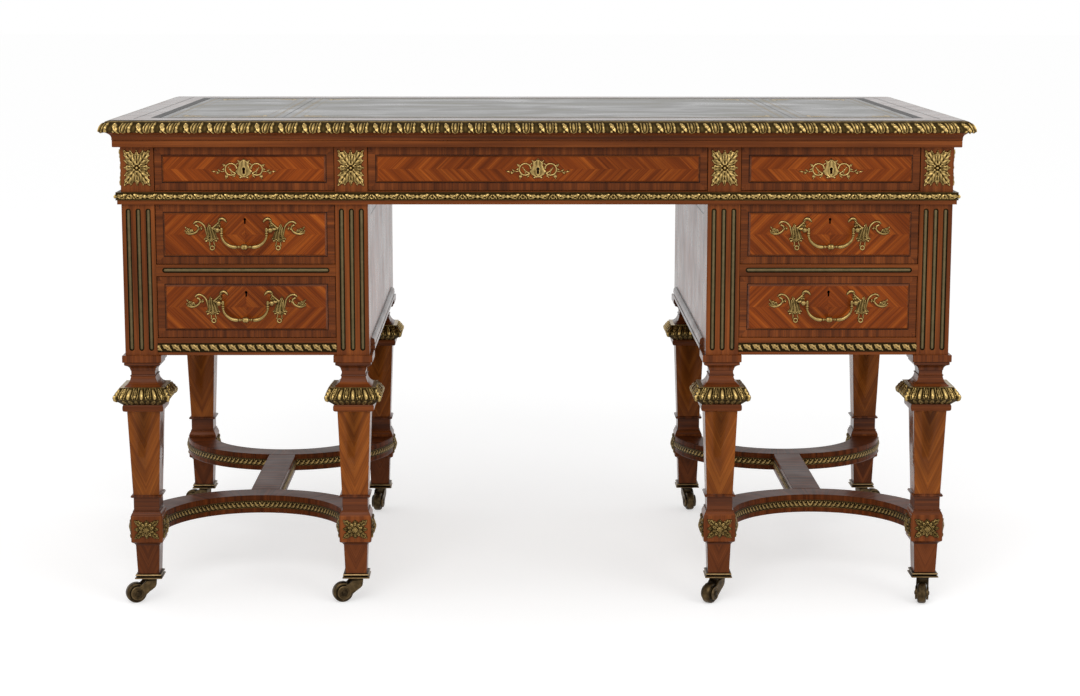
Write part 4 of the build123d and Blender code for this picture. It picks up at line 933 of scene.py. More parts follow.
def rails():
    """Front rails, runners, guides and stops."""
    piece = Piece("rails_and_runners", "carcass", "crossbanding", ["drawer_rails"])
    for side, end in zip(SIDES, ("left", "right")):
        x = (side * PEDESTAL_X - OPENING, side * PEDESTAL_X + OPENING)
        mortised_rail(piece, x, (Z_RAIL_LOW, Z_RAIL_HIGH), f"lower_{end}", -CASE_Y + RAIL_LIP)
        board(piece, x, (-CASE_Y, -INNER_Y), (Z_CASE, Z_LOWER), "post_wood")
    for name in DRAWERS:
        x, half, low, _ = drawer_opening(name)
        for side in SIDES:
            edge = x + side * (half - MM)
            wall = edge + side * 9 * MM
            guide = sorted((edge + side * 1.5 * MM, wall))
            board(piece, guide, (-INNER_Y, INNER_Y), (low, low + 18 * MM), "oak", "y")
            stop = sorted((edge, edge - side * 14 * MM))
            stop_y = limits(f"drawer_{name}")[1][1] + 0.3 * MM
            board(piece, stop, (stop_y, stop_y + 20 * MM), (low, low + 8 * MM), "oak", "x")
            if not name.startswith("frieze"):
                runner = sorted((edge - side * 14 * MM, wall))
                board(piece, runner, (-INNER_Y, INNER_Y), (low - 10 * MM, low), "oak", "y")
    piece.make()


def frieze():
    """Frieze rails, boards and backs, veneered outside, and the fillet under the gilt band."""
    piece = Piece("frieze_carcass", "carcass", "kingwood", ["frieze_boards"])
    spans = [(0.0, KNEE_X, "centre"), (-PEDESTAL_X, OPENING, "left"), (PEDESTAL_X, OPENING, "right")]
    middle, half = (Z_BAND_HIGH + Z_FASCIA) / 2, (Z_FASCIA - Z_BAND_HIGH) / 2
    for x, width, name in spans:
        across = (x - width, x + width)
        if x:
            mortised_rail(piece, across, (Z_WAIST, Z_FRIEZE), f"upper_{name}")
        else:
            board(piece, across, (-CASE_Y, -INNER_Y), (Z_WAIST, Z_FRIEZE), "post_wood")
        mortised_rail(piece, across, (Z_TOP_RAIL, Z_TOP), f"frieze_{name}")
        board(piece, across, (CASE_Y - PANEL_T, CASE_Y - VENEER), (Z_WAIST, Z_TOP), "carcass_wood")
        face = upright(x, CASE_Y, middle, (0, 1))
        veneered_panel(piece, face, (width, half), FRIEZE_BORDER)
    inner = CASE_X - PANEL_T
    board(piece, (-inner, inner), (-INNER_Y, INNER_Y), (Z_FRIEZE - BOTTOM_T, Z_FRIEZE), "oak")
    for side in SIDES:
        outer = sorted((side * inner, side * (CASE_X - VENEER)))
        board(piece, outer, (-INNER_Y, INNER_Y), (Z_WAIST, Z_TOP), "carcass_wood", "y")
        face = upright(side * CASE_X, 0, middle, (side, 0))
        veneered_panel(piece, face, (INNER_Y, half), FRIEZE_BORDER)
        at = side * LEG_INNER
        board(piece, (at - PANEL_T / 2, at + PANEL_T / 2), (-INNER_Y, INNER_Y), (Z_FRIEZE, Z_TOP), "oak", "y")
    wooden_ring(piece, [(5.5 * MM, Z_WAIST), (5.5 * MM, Z_BAND_LOW)], "post_wood")
    piece.make()


def pedestals():
    """Side and back panels and bottom boards of the pedestals."""
    piece = Piece("pedestal_carcasses", "carcass", "kingwood", ["pedestal_panels"])
    for side in SIDES:
        for face_x, inward in ((CASE_X, -1), (KNEE_X, 1)):
            x = sorted((side * (face_x + inward * VENEER), side * (face_x + inward * PANEL_T)))
            board(piece, x, (-INNER_Y, INNER_Y), (Z_CASE, Z_WAIST), "oak", "y")
            face = upright(side * face_x, 0, (Z_CASE + Z_WAIST) / 2, (-side * inward, 0))
            veneered_panel(piece, face, (INNER_Y, (Z_WAIST - Z_CASE) / 2))
        x = side * PEDESTAL_X
        across = (x - OPENING, x + OPENING)
        board(piece, across, (CASE_Y - PANEL_T, CASE_Y - VENEER), (Z_CASE, Z_WAIST), "oak")
        face = upright(x, CASE_Y, (Z_CASE + Z_WAIST) / 2, (0, 1))
        veneered_panel(piece, face, (OPENING, (Z_WAIST - Z_CASE) / 2))
        bottom = sorted((side * (KNEE_X + PANEL_T), side * (CASE_X - PANEL_T)))
        board(piece, bottom, (-INNER_Y, INNER_Y), (Z_CASE, Z_CASE + BOTTOM_T), "oak")
    piece.make()


def waist_motif(a, b):
    """Waist band: a bead in a calyx, leaves that turn away from it, and a ring among twists between them."""
    middle = 8.6
    x = np.abs(a)
    ring = np.hypot(x - 23.7, b - middle)
    twists = [((12.4 + shift, middle - 4.6), (16.2 + shift, middle + 2.6), 3.8) for shift in (0.0, 4.2)]
    return highest(
        dome(a, b, (0, middle), (3.1, 3.1), 2.3),
        leaf(x, b, (3.0, middle), (11.4, middle + 1.8), 8.6, 1.5, 3),
        leaf(x, b, (6.0, middle - 1.6), (14.6, middle - 4.4), 5.2, 1.4, 2),
        leaf(x, b, (10.0, middle + 0.6), (19.4, middle + 3.8), 6.0, 1.5, 3),
        leaves(x, b, twists, 1.4, 1),
        1.9 * np.sqrt(np.clip(1 - ((ring - 2.9) / 1.2) ** 2, 0, None)),
        0.2 * np.exp(-((b - 1.4) / 0.9) ** 2) + 0.2 * np.exp(-((b - 16.6) / 0.9) ** 2))


def waist_band():
    """Gilt band between frieze and pedestals."""
    piece = Piece("waist_band_mount", "carcass", "ormolu", ["waist_band"])
    levels = ((5.6, 0.1), (7.6, 0.6), (7.8, 2.4), (6.6, 3.6), (7.7, 5.6), (8.0, 8.0), (7.7, 10.4),
              (6.6, 12.4), (7.8, 13.6), (7.6, 15.4), (5.6, 15.9))
    rise = (Z_BAND_HIGH - Z_BAND_LOW) / 16
    profile = [(out / 10 * BAND_OUT, Z_BAND_LOW + z * rise) for out, z in levels]
    for place, half in ring_sides(CASE_X, CASE_Y):
        relief, count = repeated(waist_motif, 2 * half, WAIST_PERIOD, profile, 18)
        relief_run(piece, place, count * 38, profile, relief, rows=19)
    piece.make()


def rope_motif(a, b):
    """Slanting leaves of the base moulding."""
    shifts = (-ROPE_PERIOD, 0, ROPE_PERIOD)
    return highest(
        *(leaf(a, b, (-7.5 + shift, 13.6), (6.5 + shift, 2.6), 8.6, 1.6, 3, 0.06) for shift in shifts),
        *(dome(a, b, (2.2 + shift, 11.6), (2.0, 1.7), 1.2) for shift in shifts))


def straight(x, y, facing, half):
    """Place function of a straight moulding on an upright face."""
    def place(share, out, z):
        return upright(x, y, 0, facing)((2 * share - 1) * half, z, out)
    return place


def base_mouldings():
    """Gilt leaves along the pedestals' fronts and backs, and plain wood along their sides."""
    gilt = Piece("base_leaf_mount", "carcass", "ormolu", ["base_rope"])
    low, high = span_z("base_rope")
    scale = (high - low) / 14.6
    levels = ((0.6, 0.0), (2.0, 0.6), (2.9, 3.2), (3.3, 7.3), (2.9, 11.4), (2.0, 14.0), (0.6, 14.6))
    profile = [(out * MM, low + z * scale) for out, z in levels]
    for side in SIDES:
        for end in SIDES:
            relief, count = repeated(rope_motif, 2 * OPENING, ROPE_PERIOD, profile)
            place = straight(side * PEDESTAL_X, end * CASE_Y, (0, end), OPENING)
            relief_run(gilt, place, count * 16, profile, relief, rows=15, caps=True, finish="dull_ormolu")
    gilt.make()
    wooden = Piece("side_base_mouldings", "carcass", "crossbanding", ["side_mouldings"])
    low, high = span_z("side_mouldings")
    out = 6 * MM
    section = [(out * 0.75, low), (out, low + 1.5 * MM), (out, low + 7 * MM), (out * 0.55, low + 7.6 * MM),
               *curve((out * 0.55, low + 8 * MM), (out * 0.95, low + 12.5 * MM), 1.2 * MM),
               *curve((out * 0.9, low + 13 * MM), (out * 0.25, high), 1.6 * MM)]
    corners = np.array([(0, low), *section, (0, high)])
    run = distances(corners)
    for face_x, outwards in ((CASE_X, 1), (KNEE_X, -1)):
        for side in SIDES:
            face = upright(side * face_x, 0, 0, (side * outwards, 0))
            points = np.concatenate([face(end * INNER_Y, corners[:, 1], corners[:, 0]) for end in SIDES])
            grain = np.concatenate(
                [np.column_stack([np.full(len(run), end * INNER_Y), run]) for end in SIDES])
            grain = grain + rng.uniform(0, 4, 2)
            count = len(corners)
            wooden.add(points, grid_faces(2, count, wrap=True)[:, ::-1], "moulding", grain)
            wooden.add(points, [range(count), range(count, 2 * count)[::-1]], "moulding", grain)
    wooden.make()


# ---------------------------------------------------------------- plaques
def acanthus_plaque(a, b):
    """Frieze plaque: four corner leaves, four between them, and berries round a star."""
    x, y = np.abs(a), np.abs(b)
    turns = [math.pi / 3 * step + math.pi / 6 for step in range(6)]
    return highest(
        leaf(x, y, (2.0, 3.0), (20.6, 28.4), 18, 3.4, 4),
        leaf(x, y, (0, 5), (0, 28.6), 12.5, 2.8, 3),
        leaf(x, y, (5, 0), (20.9, 0), 13, 2.6, 3),
        leaves(x, y, [((9, 6), (20.6, 12.5), 8.5), ((5, 13), (10.5, 28.2), 8.0)], 2.0, 2),
        1.2 * (np.hypot(a / 9.5, b / 11.5) < 1),
        *(dome(a, b, (5.2 * math.cos(turn), 5.9 * math.sin(turn)), (2.5, 2.6), 4.7) for turn in turns),
        dome(a, b, (0, 0), (3.1, 3.3), 5.3))


def flower_plaque(a, b):
    """Leg plaque: a seeded, domed flower in a wreath of petals, with leaves to its corners and sides."""
    x, y = np.abs(a), np.abs(b)
    foliage = highest(
        leaf(x, y, (6, 4.6), (19.6, 15.0), 12.5, 3.0, 3),
        leaf(x, y, (11, 0), (19.9, 0), 8.5, 2.4, 2),
        leaf(x, y, (0, 9), (0, 15.2), 10, 2.2, 2))
    reach = np.hypot(a, b)
    swell = 3.4 * np.sqrt(np.clip(1 - (reach / 13.6) ** 2, 0, None))
    flower = 0.5 * (reach < 11.5)
    for step in range(10):
        turn = math.pi / 5 * step + math.pi / 10
        far = (12.9 * math.cos(turn), 12.9 * math.sin(turn))
        near = (5.0 * math.cos(turn), 5.0 * math.sin(turn))
        flower = highest(flower, leaf(a, b, near, far, 7.4, 2.5, 1),
                         dome(a, b, (0.84 * far[0], 0.84 * far[1]), (2.0, 2.0), 2.5))
    flower = highest(flower, dome(a, b, (0, 0), (5.6, 5.6), 3.6))
    for ring, count in ((1.9, 5), (4.2, 9)):
        for step in range(count):
            turn = 2 * math.pi * step / count
            seed = dome(a, b, (ring * math.cos(turn), ring * math.sin(turn)), (1.0, 1.0), 1.0)
            flower = np.where(seed > 0, np.maximum(flower, 3.4 - 0.18 * ring + seed), flower)
    return np.maximum(foliage, np.where(flower > 0, flower + swell, 0))


def plaques():
    """Gilt plaques on the frieze posts and the leg blocks."""
    piece = Piece("gilt_plaques", "carcass", "ormolu", ["rosettes"])
    frieze_cast = casting((-21, 21), (-28.8, 28.8), 0.75, acanthus_plaque, polish=0.16)
    leg_cast = casting((-20, 20), (-15.6, 15.6), 0.65, flower_plaque)
    high = span_z("rosettes")[1] - 28.75 * MM
    low = (Z_BLOCK + Z_SHOULDER) / 2
    for x, y, _ in LEGS.values():
        for facing, outward in post_facings(x, y):
            if outward:
                face = upright(x + facing[0] * HALF_POST, y + facing[1] * HALF_POST, high, facing)
                stamp(piece, frieze_cast, face)
        for facing in ((0, int(math.copysign(1, y))), (-1, 0), (1, 0)):
            face = upright(x + facing[0] * BLOCK_W / 2, y + facing[1] * BLOCK_W / 2, low, facing)
            stamp(piece, leg_cast, face)
    piece.make()


# ---------------------------------------------------------------- drawers
FACE_Y = -CASE_Y + 2 * MM
FRONT_T = 20 * MM
FIELD_T = 4 * MM
FIELD_INSET = 13.5 * MM
FIELD_BEVEL = 2.5 * MM
BOX_SIDE_T = 10 * MM
BOX_FLOOR = (6 * MM, 12 * MM)      # underside and top of the drawer bottom, above the opening
KEYHOLE_RISE = 24 * MM
KEYHOLE_R = 2.2 * MM
PIVOT_RISE = 8.5 * MM
EYE_STAND = 14 * MM
EYE_X = 41.5 * MM


def smooth(corners, count=8):
    """A Catmull-Rom line through rows of numbers."""
    rows = np.asarray(corners, float)
    padded = np.concatenate([[2 * rows[0] - rows[1]], rows, [2 * rows[-1] - rows[-2]]])
    t = np.linspace(0, 1, count, endpoint=False)[:, None]
    line = []
    for p, q, r, s in zip(padded, padded[1:], padded[2:], padded[3:]):
        square, cube = 2 * p - 5 * q + 4 * r - s, 3 * q - p - 3 * r + s
        line.append(0.5 * (2 * q + (r - p) * t + square * t ** 2 + cube * t ** 3))
    return np.concatenate([*line, rows[-1:]])


def keyhole_height(name):
    """Keyhole above the middle of a drawer."""
    return 0.0 if name.startswith("frieze") else KEYHOLE_RISE


def keyhole_half(rise):
    """Right-hand half of a keyhole's outline, from its top round to its foot."""
    turn = np.radians([90, 72, 54, 36, 18, 0, -18, -36, -53.8])
    ring = [(KEYHOLE_R * math.cos(t), rise + KEYHOLE_R * math.sin(t)) for t in turn]
    return ring + [(1.3 * MM, rise - 7 * MM), (0.0, rise - 7 * MM)]


def keyhole_painted_shade(piece, face, rise):
    """The walls of a keyhole through the whole front, painted dark as the shade inside the hole."""
    right = keyhole_half(rise)
    outline = np.array(right + [(-a, b) for a, b in right[::-1][1:-1]])
    points = np.concatenate([face(outline[:, 0], outline[:, 1], level) for level in (FIELD_T, -FRONT_T)])
    piece.add(points, grid_faces(2, len(outline), wrap=True)[:, ::-1], "inlay")


def dovetails(piece, x, side, low, high):
    """Tails of a drawer side let into the end of its front."""
    face = upright(x, FACE_Y + FRONT_T, low, (side, 0))
    count = 3
    pitch = (high - low) / count
    for step in range(count):
        at = (step + 0.5) * pitch
        outline = [(0, at - 0.24 * pitch), (0, at + 0.24 * pitch), (-side * 12 * MM, at + 0.38 * pitch),
                   (-side * 12 * MM, at - 0.38 * pitch)]
        plate(piece, face, outline, -0.3 * MM, 0.06 * MM, "oak", bevel=0.0)


def drawer(name):
    """Veneered front with its raised field, and the oak box behind it."""
    piece = Piece(f"drawer_box_{name}", f"drawer_{name}", "kingwood", [f"drawer_{name}"])
    x, half, low, high = drawer_opening(name)
    wide, rise = half - MM, (high - low) / 2
    top, foot = rise - MM, -rise + 0.8 * MM
    key = keyhole_half(keyhole_height(name))
    face = upright(x, FACE_Y, (low + high) / 2, (0, -1))
    for side in SIDES:
        ground = [(side * a, b) for a, b in [(0.0, foot), (wide, foot), (wide, top), (0.0, top), *key]]
        plate(piece, face, ground, -FRONT_T, -VENEER, "carcass_wood", bevel=0.0)
    border = face.at(0, (top + foot) / 2)
    outer = (wide, (top - foot) / 2)
    inner = mitred_border(piece, border, outer, 11.4 * MM, -VENEER, 0, "crossbanding", bevel=0.12 * MM)
    # the dark line round the raised field is ebonised stringing and also painted shade for the gap round the
    # field
    mitred_border(piece, border, inner, 2.2 * MM, -VENEER, -0.1 * MM, "inlay", across=False)
    field = (half - FIELD_INSET, rise - FIELD_INSET)
    raised = rectangle((-field[0], field[0]), (-field[1], field[1]))
    # the bevel round the raised field is darkened as painted shade
    plate(piece, face, raised, -0.3 * MM, FIELD_T, "bevel", bevel=FIELD_BEVEL, cap=False)
    quartered(piece, face, (field[0] - FIELD_BEVEL, field[1] - FIELD_BEVEL), FIELD_T - 0.8 * MM, FIELD_T, key)
    # the keyhole's walls are painted dark as shade
    keyhole_painted_shade(piece, face, keyhole_height(name))
    end = limits(f"drawer_{name}")[1][1]
    back = FACE_Y + FRONT_T
    side_z = (low + 0.3 * MM, high - 6 * MM)
    for side in SIDES:
        wall = sorted((x + side * wide, x + side * (wide - BOX_SIDE_T)))
        board(piece, wall, (back, end), side_z, "oak", "y", 1.2 * MM)
        dovetails(piece, x + side * wide, side, *side_z)
    inside = (x - wide + BOX_SIDE_T, x + wide - BOX_SIDE_T)
    board(piece, inside, (end - BOX_SIDE_T, end), (low + BOX_FLOOR[1], side_z[1]), "oak", "x", 1.0 * MM)
    board(piece, inside, (back, end), (low + BOX_FLOOR[0], low + BOX_FLOOR[1]), "oak", "x")
    piece.make()


def escutcheon(a, b):
    """Keyhole plate: a cartouche between two open scrolls, with sprigs of leaves outside them."""
    half = np.interp(b, (-13, -9, -4, 1, 6, 10, 14.6), (3.2, 10.0, 13.2, 10.4, 8.2, 8.6, 2.6))
    share = np.clip(np.abs(a) / half, 0, 1)
    inside = (np.abs(a) < half) & (b > -13) & (b < 14.6)
    scrolls = (
        (arc((20, -0.6), 9.4, 168, -138, 22, 0.94), 1.4, 1.5),
        ([(13.4, -6.2), (17.5, -4.4), (21.5, -1.2), (24.4, 3.4)], 1.3, 0.7),
        ([(18.2, -8.4), (20.2, -4.6), (20.6, 0.6)], 0.9, 0.7),
        ([(28.6, -3.0), (35, -4.2), (41, -4.4), (47, -4.0)], 1.0, 0.7),
        ([(9.6, 8.8), (12.4, 6.6), (13.2, 3.0)], 1.1, 0.8))
    sprigs = (
        ((26, -7), (28.4, -16.6), 6), ((28, 3.6), (33.4, 8.4), 4.4), ((29, 0), (34.8, -0.6), 4),
        ((36, -4.2), (41, -0.2), 3.6), ((38, -4.4), (44, -8.0), 3.6), ((44, -4.2), (51, -3), 3.4),
        ((13, -8), (17.6, -13.6), 4.4), ((4, 9), (9.8, 14.2), 4.6))
    x = np.abs(a)
    height = highest(
        np.where(inside, 1.3 + 1.3 * np.sqrt(1 - share ** 2) + 0.35 * np.cos(9 * share), 0),
        *(ridge(x, b, path, taper(path, start, end), 1.5) for path, start, end in scrolls),
        dome(x, b, (11.4, 1.4), (1.7, 1.7), 2.2),
        dome(x, b, (5.4, -13.2), (2.4, 1.9), 2.4),
        leaf(a, b, (0, 9), (0, 17), 6.5, 2.4, 3),
        leaves(x, b, sprigs, 2.1, 2))
    slot = (np.abs(a) < 1.6) & (b < 0) & (b > -7.3)
    return np.where(slot | (np.hypot(a, b) < 2.5), 0, height)


def backplate(a, b):
    """Right-hand handle plate, with a counted from the drawer's middle and b from the pivots."""
    rows = (-20.5, -17.2, -15.6, -13.4, -7.8, 0, 3.5)
    outer = np.interp(b, rows, (53.6, 57.0, 63.8, 61.2, 59.9, 60.9, 60.0))
    inner = np.interp(b, rows, (52.4, 49.4, 42.4, 44.6, 46.6, 49.0, 50.6))
    centre, half = (outer + inner) / 2, (outer - inner) / 2
    share = np.clip(np.abs(a - centre) / half, 0, 1)
    inside = (np.abs(a - centre) < half) & (b > rows[0]) & (b < rows[-1])
    scrolls = (                        # a, b and radius along each
        [(60.0, -9, 1.3), (61.6, -1, 1.6), (63.4, 4.4, 1.7), (67.6, 9.4, 1.7), (73, 11.9, 1.7),
         (77.4, 11.2, 2.0), (80.2, 8.8, 1.3)],
        [(76.8, 6.4, 1.9), (73.6, 4.4, 1.8), (73.2, 0.4, 1.6), (76, -3.8, 1.8), (81, -6.6, 2.1),
         (87, -7.4, 2.2), (93, -5.8, 1.2)],
        [(50.6, 1.6, 2.4), (46.4, 5.6, 2.0), (41.6, 10.4, 1.6), (38.4, 14.6, 1.5)],
        [(41.4, 13.4, 1.3), (38.4, 16.3, 2.4), (34.4, 16.4, 2.7), (31.2, 14.2, 2.2), (29.2, 11.4, 1.1)],
        [(63.6, -15.6, 1.2), (61.0, -12.4, 1.0), (59.8, -6, 0.9)],
        [(42.6, -15.4, 1.2), (45.0, -12.2, 1.0), (46.6, -6, 0.9), (49.6, 1, 0.9)],
        [(61.2, -18.8, 2.0), (58.6, -17.8, 1.4), (56.2, -19.6, 1.1), (55.6, -23.2, 1.2), (56.2, -26.2, 1.1)],
        [(45.2, -18.2, 1.9), (47.6, -17.6, 1.4), (49.4, -19.8, 1.1), (48.6, -23.4, 1.2), (47.6, -26.4, 1.1)],
        [(56.2, -26.2, 1.1), (54.2, -26.6, 1.1)],
        [(47.6, -26.4, 1.1), (49.4, -26.8, 1.1)],
        [(41.5, 0, 3.2), (48, 0.4, 2.4)])
    foliage = (
        ((84, -6.4), (94.4, 4.2), 7), ((80, -5.2), (88.2, 1.8), 5), ((87, -6.6), (95, -2.0), 5),
        ((48, 3.4), (37.6, 5.4), 7), ((45, 7.4), (37.0, 8.8), 5), ((53.6, -2), (53.2, -20), 4.6),
        ((57.6, 1), (54.6, -19), 4.4), ((51.0, 0), (52.6, -19), 4.0), ((55, 2), (57.4, 9.0), 6),
        ((68.6, 4.4), (69.0, -2.4), 5), ((70.4, 3), (73.4, -1.6), 3.4))
    ring = (np.hypot(a - 51.8, b + 29.6) - 3.0) / 1.4
    return highest(
        np.where(inside, 1.1 + 1.2 * np.sqrt(1 - share ** 2) + 0.4 * np.cos(3 * math.pi * share), 0),
        *(ridge(a, b, line[:, :2], line[:, 2], 1.3) for line in (smooth(corners, 5) for corners in scrolls)),
        leaves(a, b, foliage, 2.5, 2),
        2.1 * np.sqrt(np.clip(1 - ring ** 2, 0, None)))


ESCUTCHEON = casting((-51, 51), (-17.6, 17.6), 0.5, escutcheon, polish=0.14)
BACKPLATE = casting((26.5, 96), (-35, 20), 0.5, backplate, polish=0.08)


SHANK = [(3.4, 1.2), (2.6, 2.4), (2.0, 4.0), (1.9, 7.2), (2.6, 8.0), (2.7, 8.8), (2.2, 9.6), (2.4, 11.4)]
EYE = [(1.95, -2.9), (3.6, -2.9), (4.3, -2.2), (4.5, -0.9), (4.5, 0.9), (4.3, 2.2), (3.6, 2.9), (1.95, 2.9)]


def lock(piece, x, key_z, top):
    """A lock's brass case, with its screws, on the back of a drawer front."""
    y = FACE_Y + FRONT_T
    low = key_z - 14 * MM
    left, right = x - 30 * MM, x + 30 * MM
    slot = (x - 7.2 * MM, x + 7.2 * MM)
    plates, sides = ((0, 1.5), (7.5, 9.0)), (1.5, 7.5)
    for span, depth, head in (((left, right), plates[0], top), ((left, slot[0]), sides, top),
                              ((slot[1], right), sides, top), ((left, right), plates[1], top),
                              (slot, sides, key_z + 4.6 * MM)):
        y_span = (y + depth[0] * MM, y + depth[1] * MM)
        board(piece, span, y_span, (low, head), "brass_inlay", bevel=0.2 * MM)
    screw = [(2.6, 0), (2.5, 0.5), (1.6, 0.8), (0.01, 0.9)]
    for side in SIDES:
        for z in (low + 5 * MM, top - 5 * MM):
            lathe(piece, (x + side * 25 * MM, y + 8.8 * MM, z), (0, 1, 0), screw, "steel", 16)


def fittings(name):
    """Lock case, and the gilt escutcheon or pair of handle plates."""
    piece = Piece(f"drawer_mounts_{name}", f"drawer_{name}", "ormolu", [f"drawer_{name}_fittings"])
    x, _, low, high = drawer_opening(name)
    middle = (low + high) / 2
    lock(piece, x, middle + keyhole_height(name), high - MM)
    if name.startswith("frieze"):
        stamp(piece, ESCUTCHEON, upright(x, FACE_Y - FIELD_T, middle, (0, -1)))
    else:
        face = upright(x, FACE_Y - FIELD_T, middle + PIVOT_RISE, (0, -1))
        for side in SIDES:
            stamp(piece, BACKPLATE, face, mirror=side < 0)
            lathe(piece, face(side * EYE_X, 0), face.c, SHANK, "ormolu", 18)
            lathe(piece, face(side * EYE_X, 0, EYE_STAND), (1, 0, 0), EYE, "ormolu", 24)
    piece.make()


def tongue(name):
    """The steel bolt of a lock."""
    node = f"lock_bolt_{name}"
    piece = Piece(f"lock_tongue_{name}", node, "steel", [node])
    (left, near, low), (right, far, high) = limits(node)
    face = upright((left + right) / 2, near, low, (0, -1))
    half, rise = (right - left) / 2, high - low
    notch = 2 * MM
    outline = [(-half, 0), (-notch, 0), (-notch, 3 * MM), (notch, 3 * MM), (notch, 0), (half, 0),
               (half, rise - MM), (half - MM, rise), (MM - half, rise), (-half, rise - MM)]
    plate(piece, face, outline, near - far, 0, "steel", (0, 1), 0.3 * MM)
    piece.make()


BAIL_HALF = [              # across, up and radius, in millimetres from the middle of the pivots
    (35.3, 4.2, 0.3), (35.3, 3.8, 1.5), (35.3, 2.4, 2.3), (35.3, -2.0, 2.3), (35.3, -3.4, 1.8),
    (35.3, -4.0, 2.7), (35.3, -5.4, 2.9), (35.3, -6.4, 2.3), (35.3, -7.0, 1.7), (35.2, -7.8, 2.4),
    (35.2, -9.2, 2.4), (35.1, -10.2, 1.7), (34.2, -13.2, 1.9), (31.8, -17.6, 2.2), (27.6, -21.8, 2.6),
    (21.6, -25.4, 3.0), (15.6, -26.7, 3.2), (12.2, -26.8, 2.7), (10.9, -26.7, 1.6), (10.0, -26.6, 2.5),
    (8.2, -26.6, 2.5), (7.2, -26.6, 1.6), (5.6, -26.6, 1.8), (4.9, -26.6, 3.2), (3.4, -26.6, 4.3),
    (1.6, -26.6, 4.8), (0.9, -26.6, 4.3), (0.4, -26.6, 4.9),
]


def bail(name):
    """The swinging handle: knuckles on pins, turned arms and a knop."""
    node = f"bail_{name}"
    piece = Piece(f"swinging_{node}", node, "ormolu", [node])
    x, _, low, high = drawer_opening(name)
    face = upright(x, FACE_Y - FIELD_T - EYE_STAND, (low + high) / 2 + PIVOT_RISE, (0, -1))
    half = smooth(BAIL_HALF, 4)
    line = np.concatenate([half * (-1, 1, 1), half[::-1]])
    tube(piece, face(line[:, 0] * MM, line[:, 1] * MM), line[:, 2] * MM, "ormolu", 18)
    pin = [(1.9, 34.5), (1.9, 44.4), (1.7, 45.2), (0.9, 46.0), (0.01, 46.2)]
    for side in SIDES:
        lathe(piece, face(0, 0), (side, 0, 0), pin, "ormolu", 16)
    piece.make()


# ---------------------------------------------------------------- legs
def squared(piece, axis, profile, finish, slant, ease, wear=0.62):
    """A square leg section from (half width, z) pairs; its stripes lean by slant from the upright."""
    half, z = np.array(profile, float).T
    run = distances(np.array(profile, float))
    lean = math.radians(slant)
    flat = np.maximum(half - ease, 0)
    across = np.stack([-flat, np.zeros(len(half)), flat, half], 1)
    away = np.stack([half, half, half, flat], 1)
    spread = np.stack([flat, np.zeros(len(half)), flat, flat + ease * 1.4], 1)
    for cos, sin in ((1, 0), (0, 1), (-1, 0), (0, -1)):
        shift = rng.uniform(0, 4, 2)
        points = np.stack([axis[0] + across * cos + away * sin, axis[1] + across * sin - away * cos,
                           np.broadcast_to(z[:, None], across.shape)], -1)
        rise = run[:, None]
        grain = np.stack([rise * math.cos(lean) + spread * math.sin(lean),
                          spread * math.cos(lean) - rise * math.sin(lean)], -1)
        piece.add(points.reshape(-1, 3), grid_faces(len(half), 4), finish, grain.reshape(-1, 2) + shift, wear)


def lifted(base, *levels):
    """A profile from (half width in millimetres, millimetres above base) pairs."""
    return [(half * MM, base + rise * MM) for half, rise in levels]


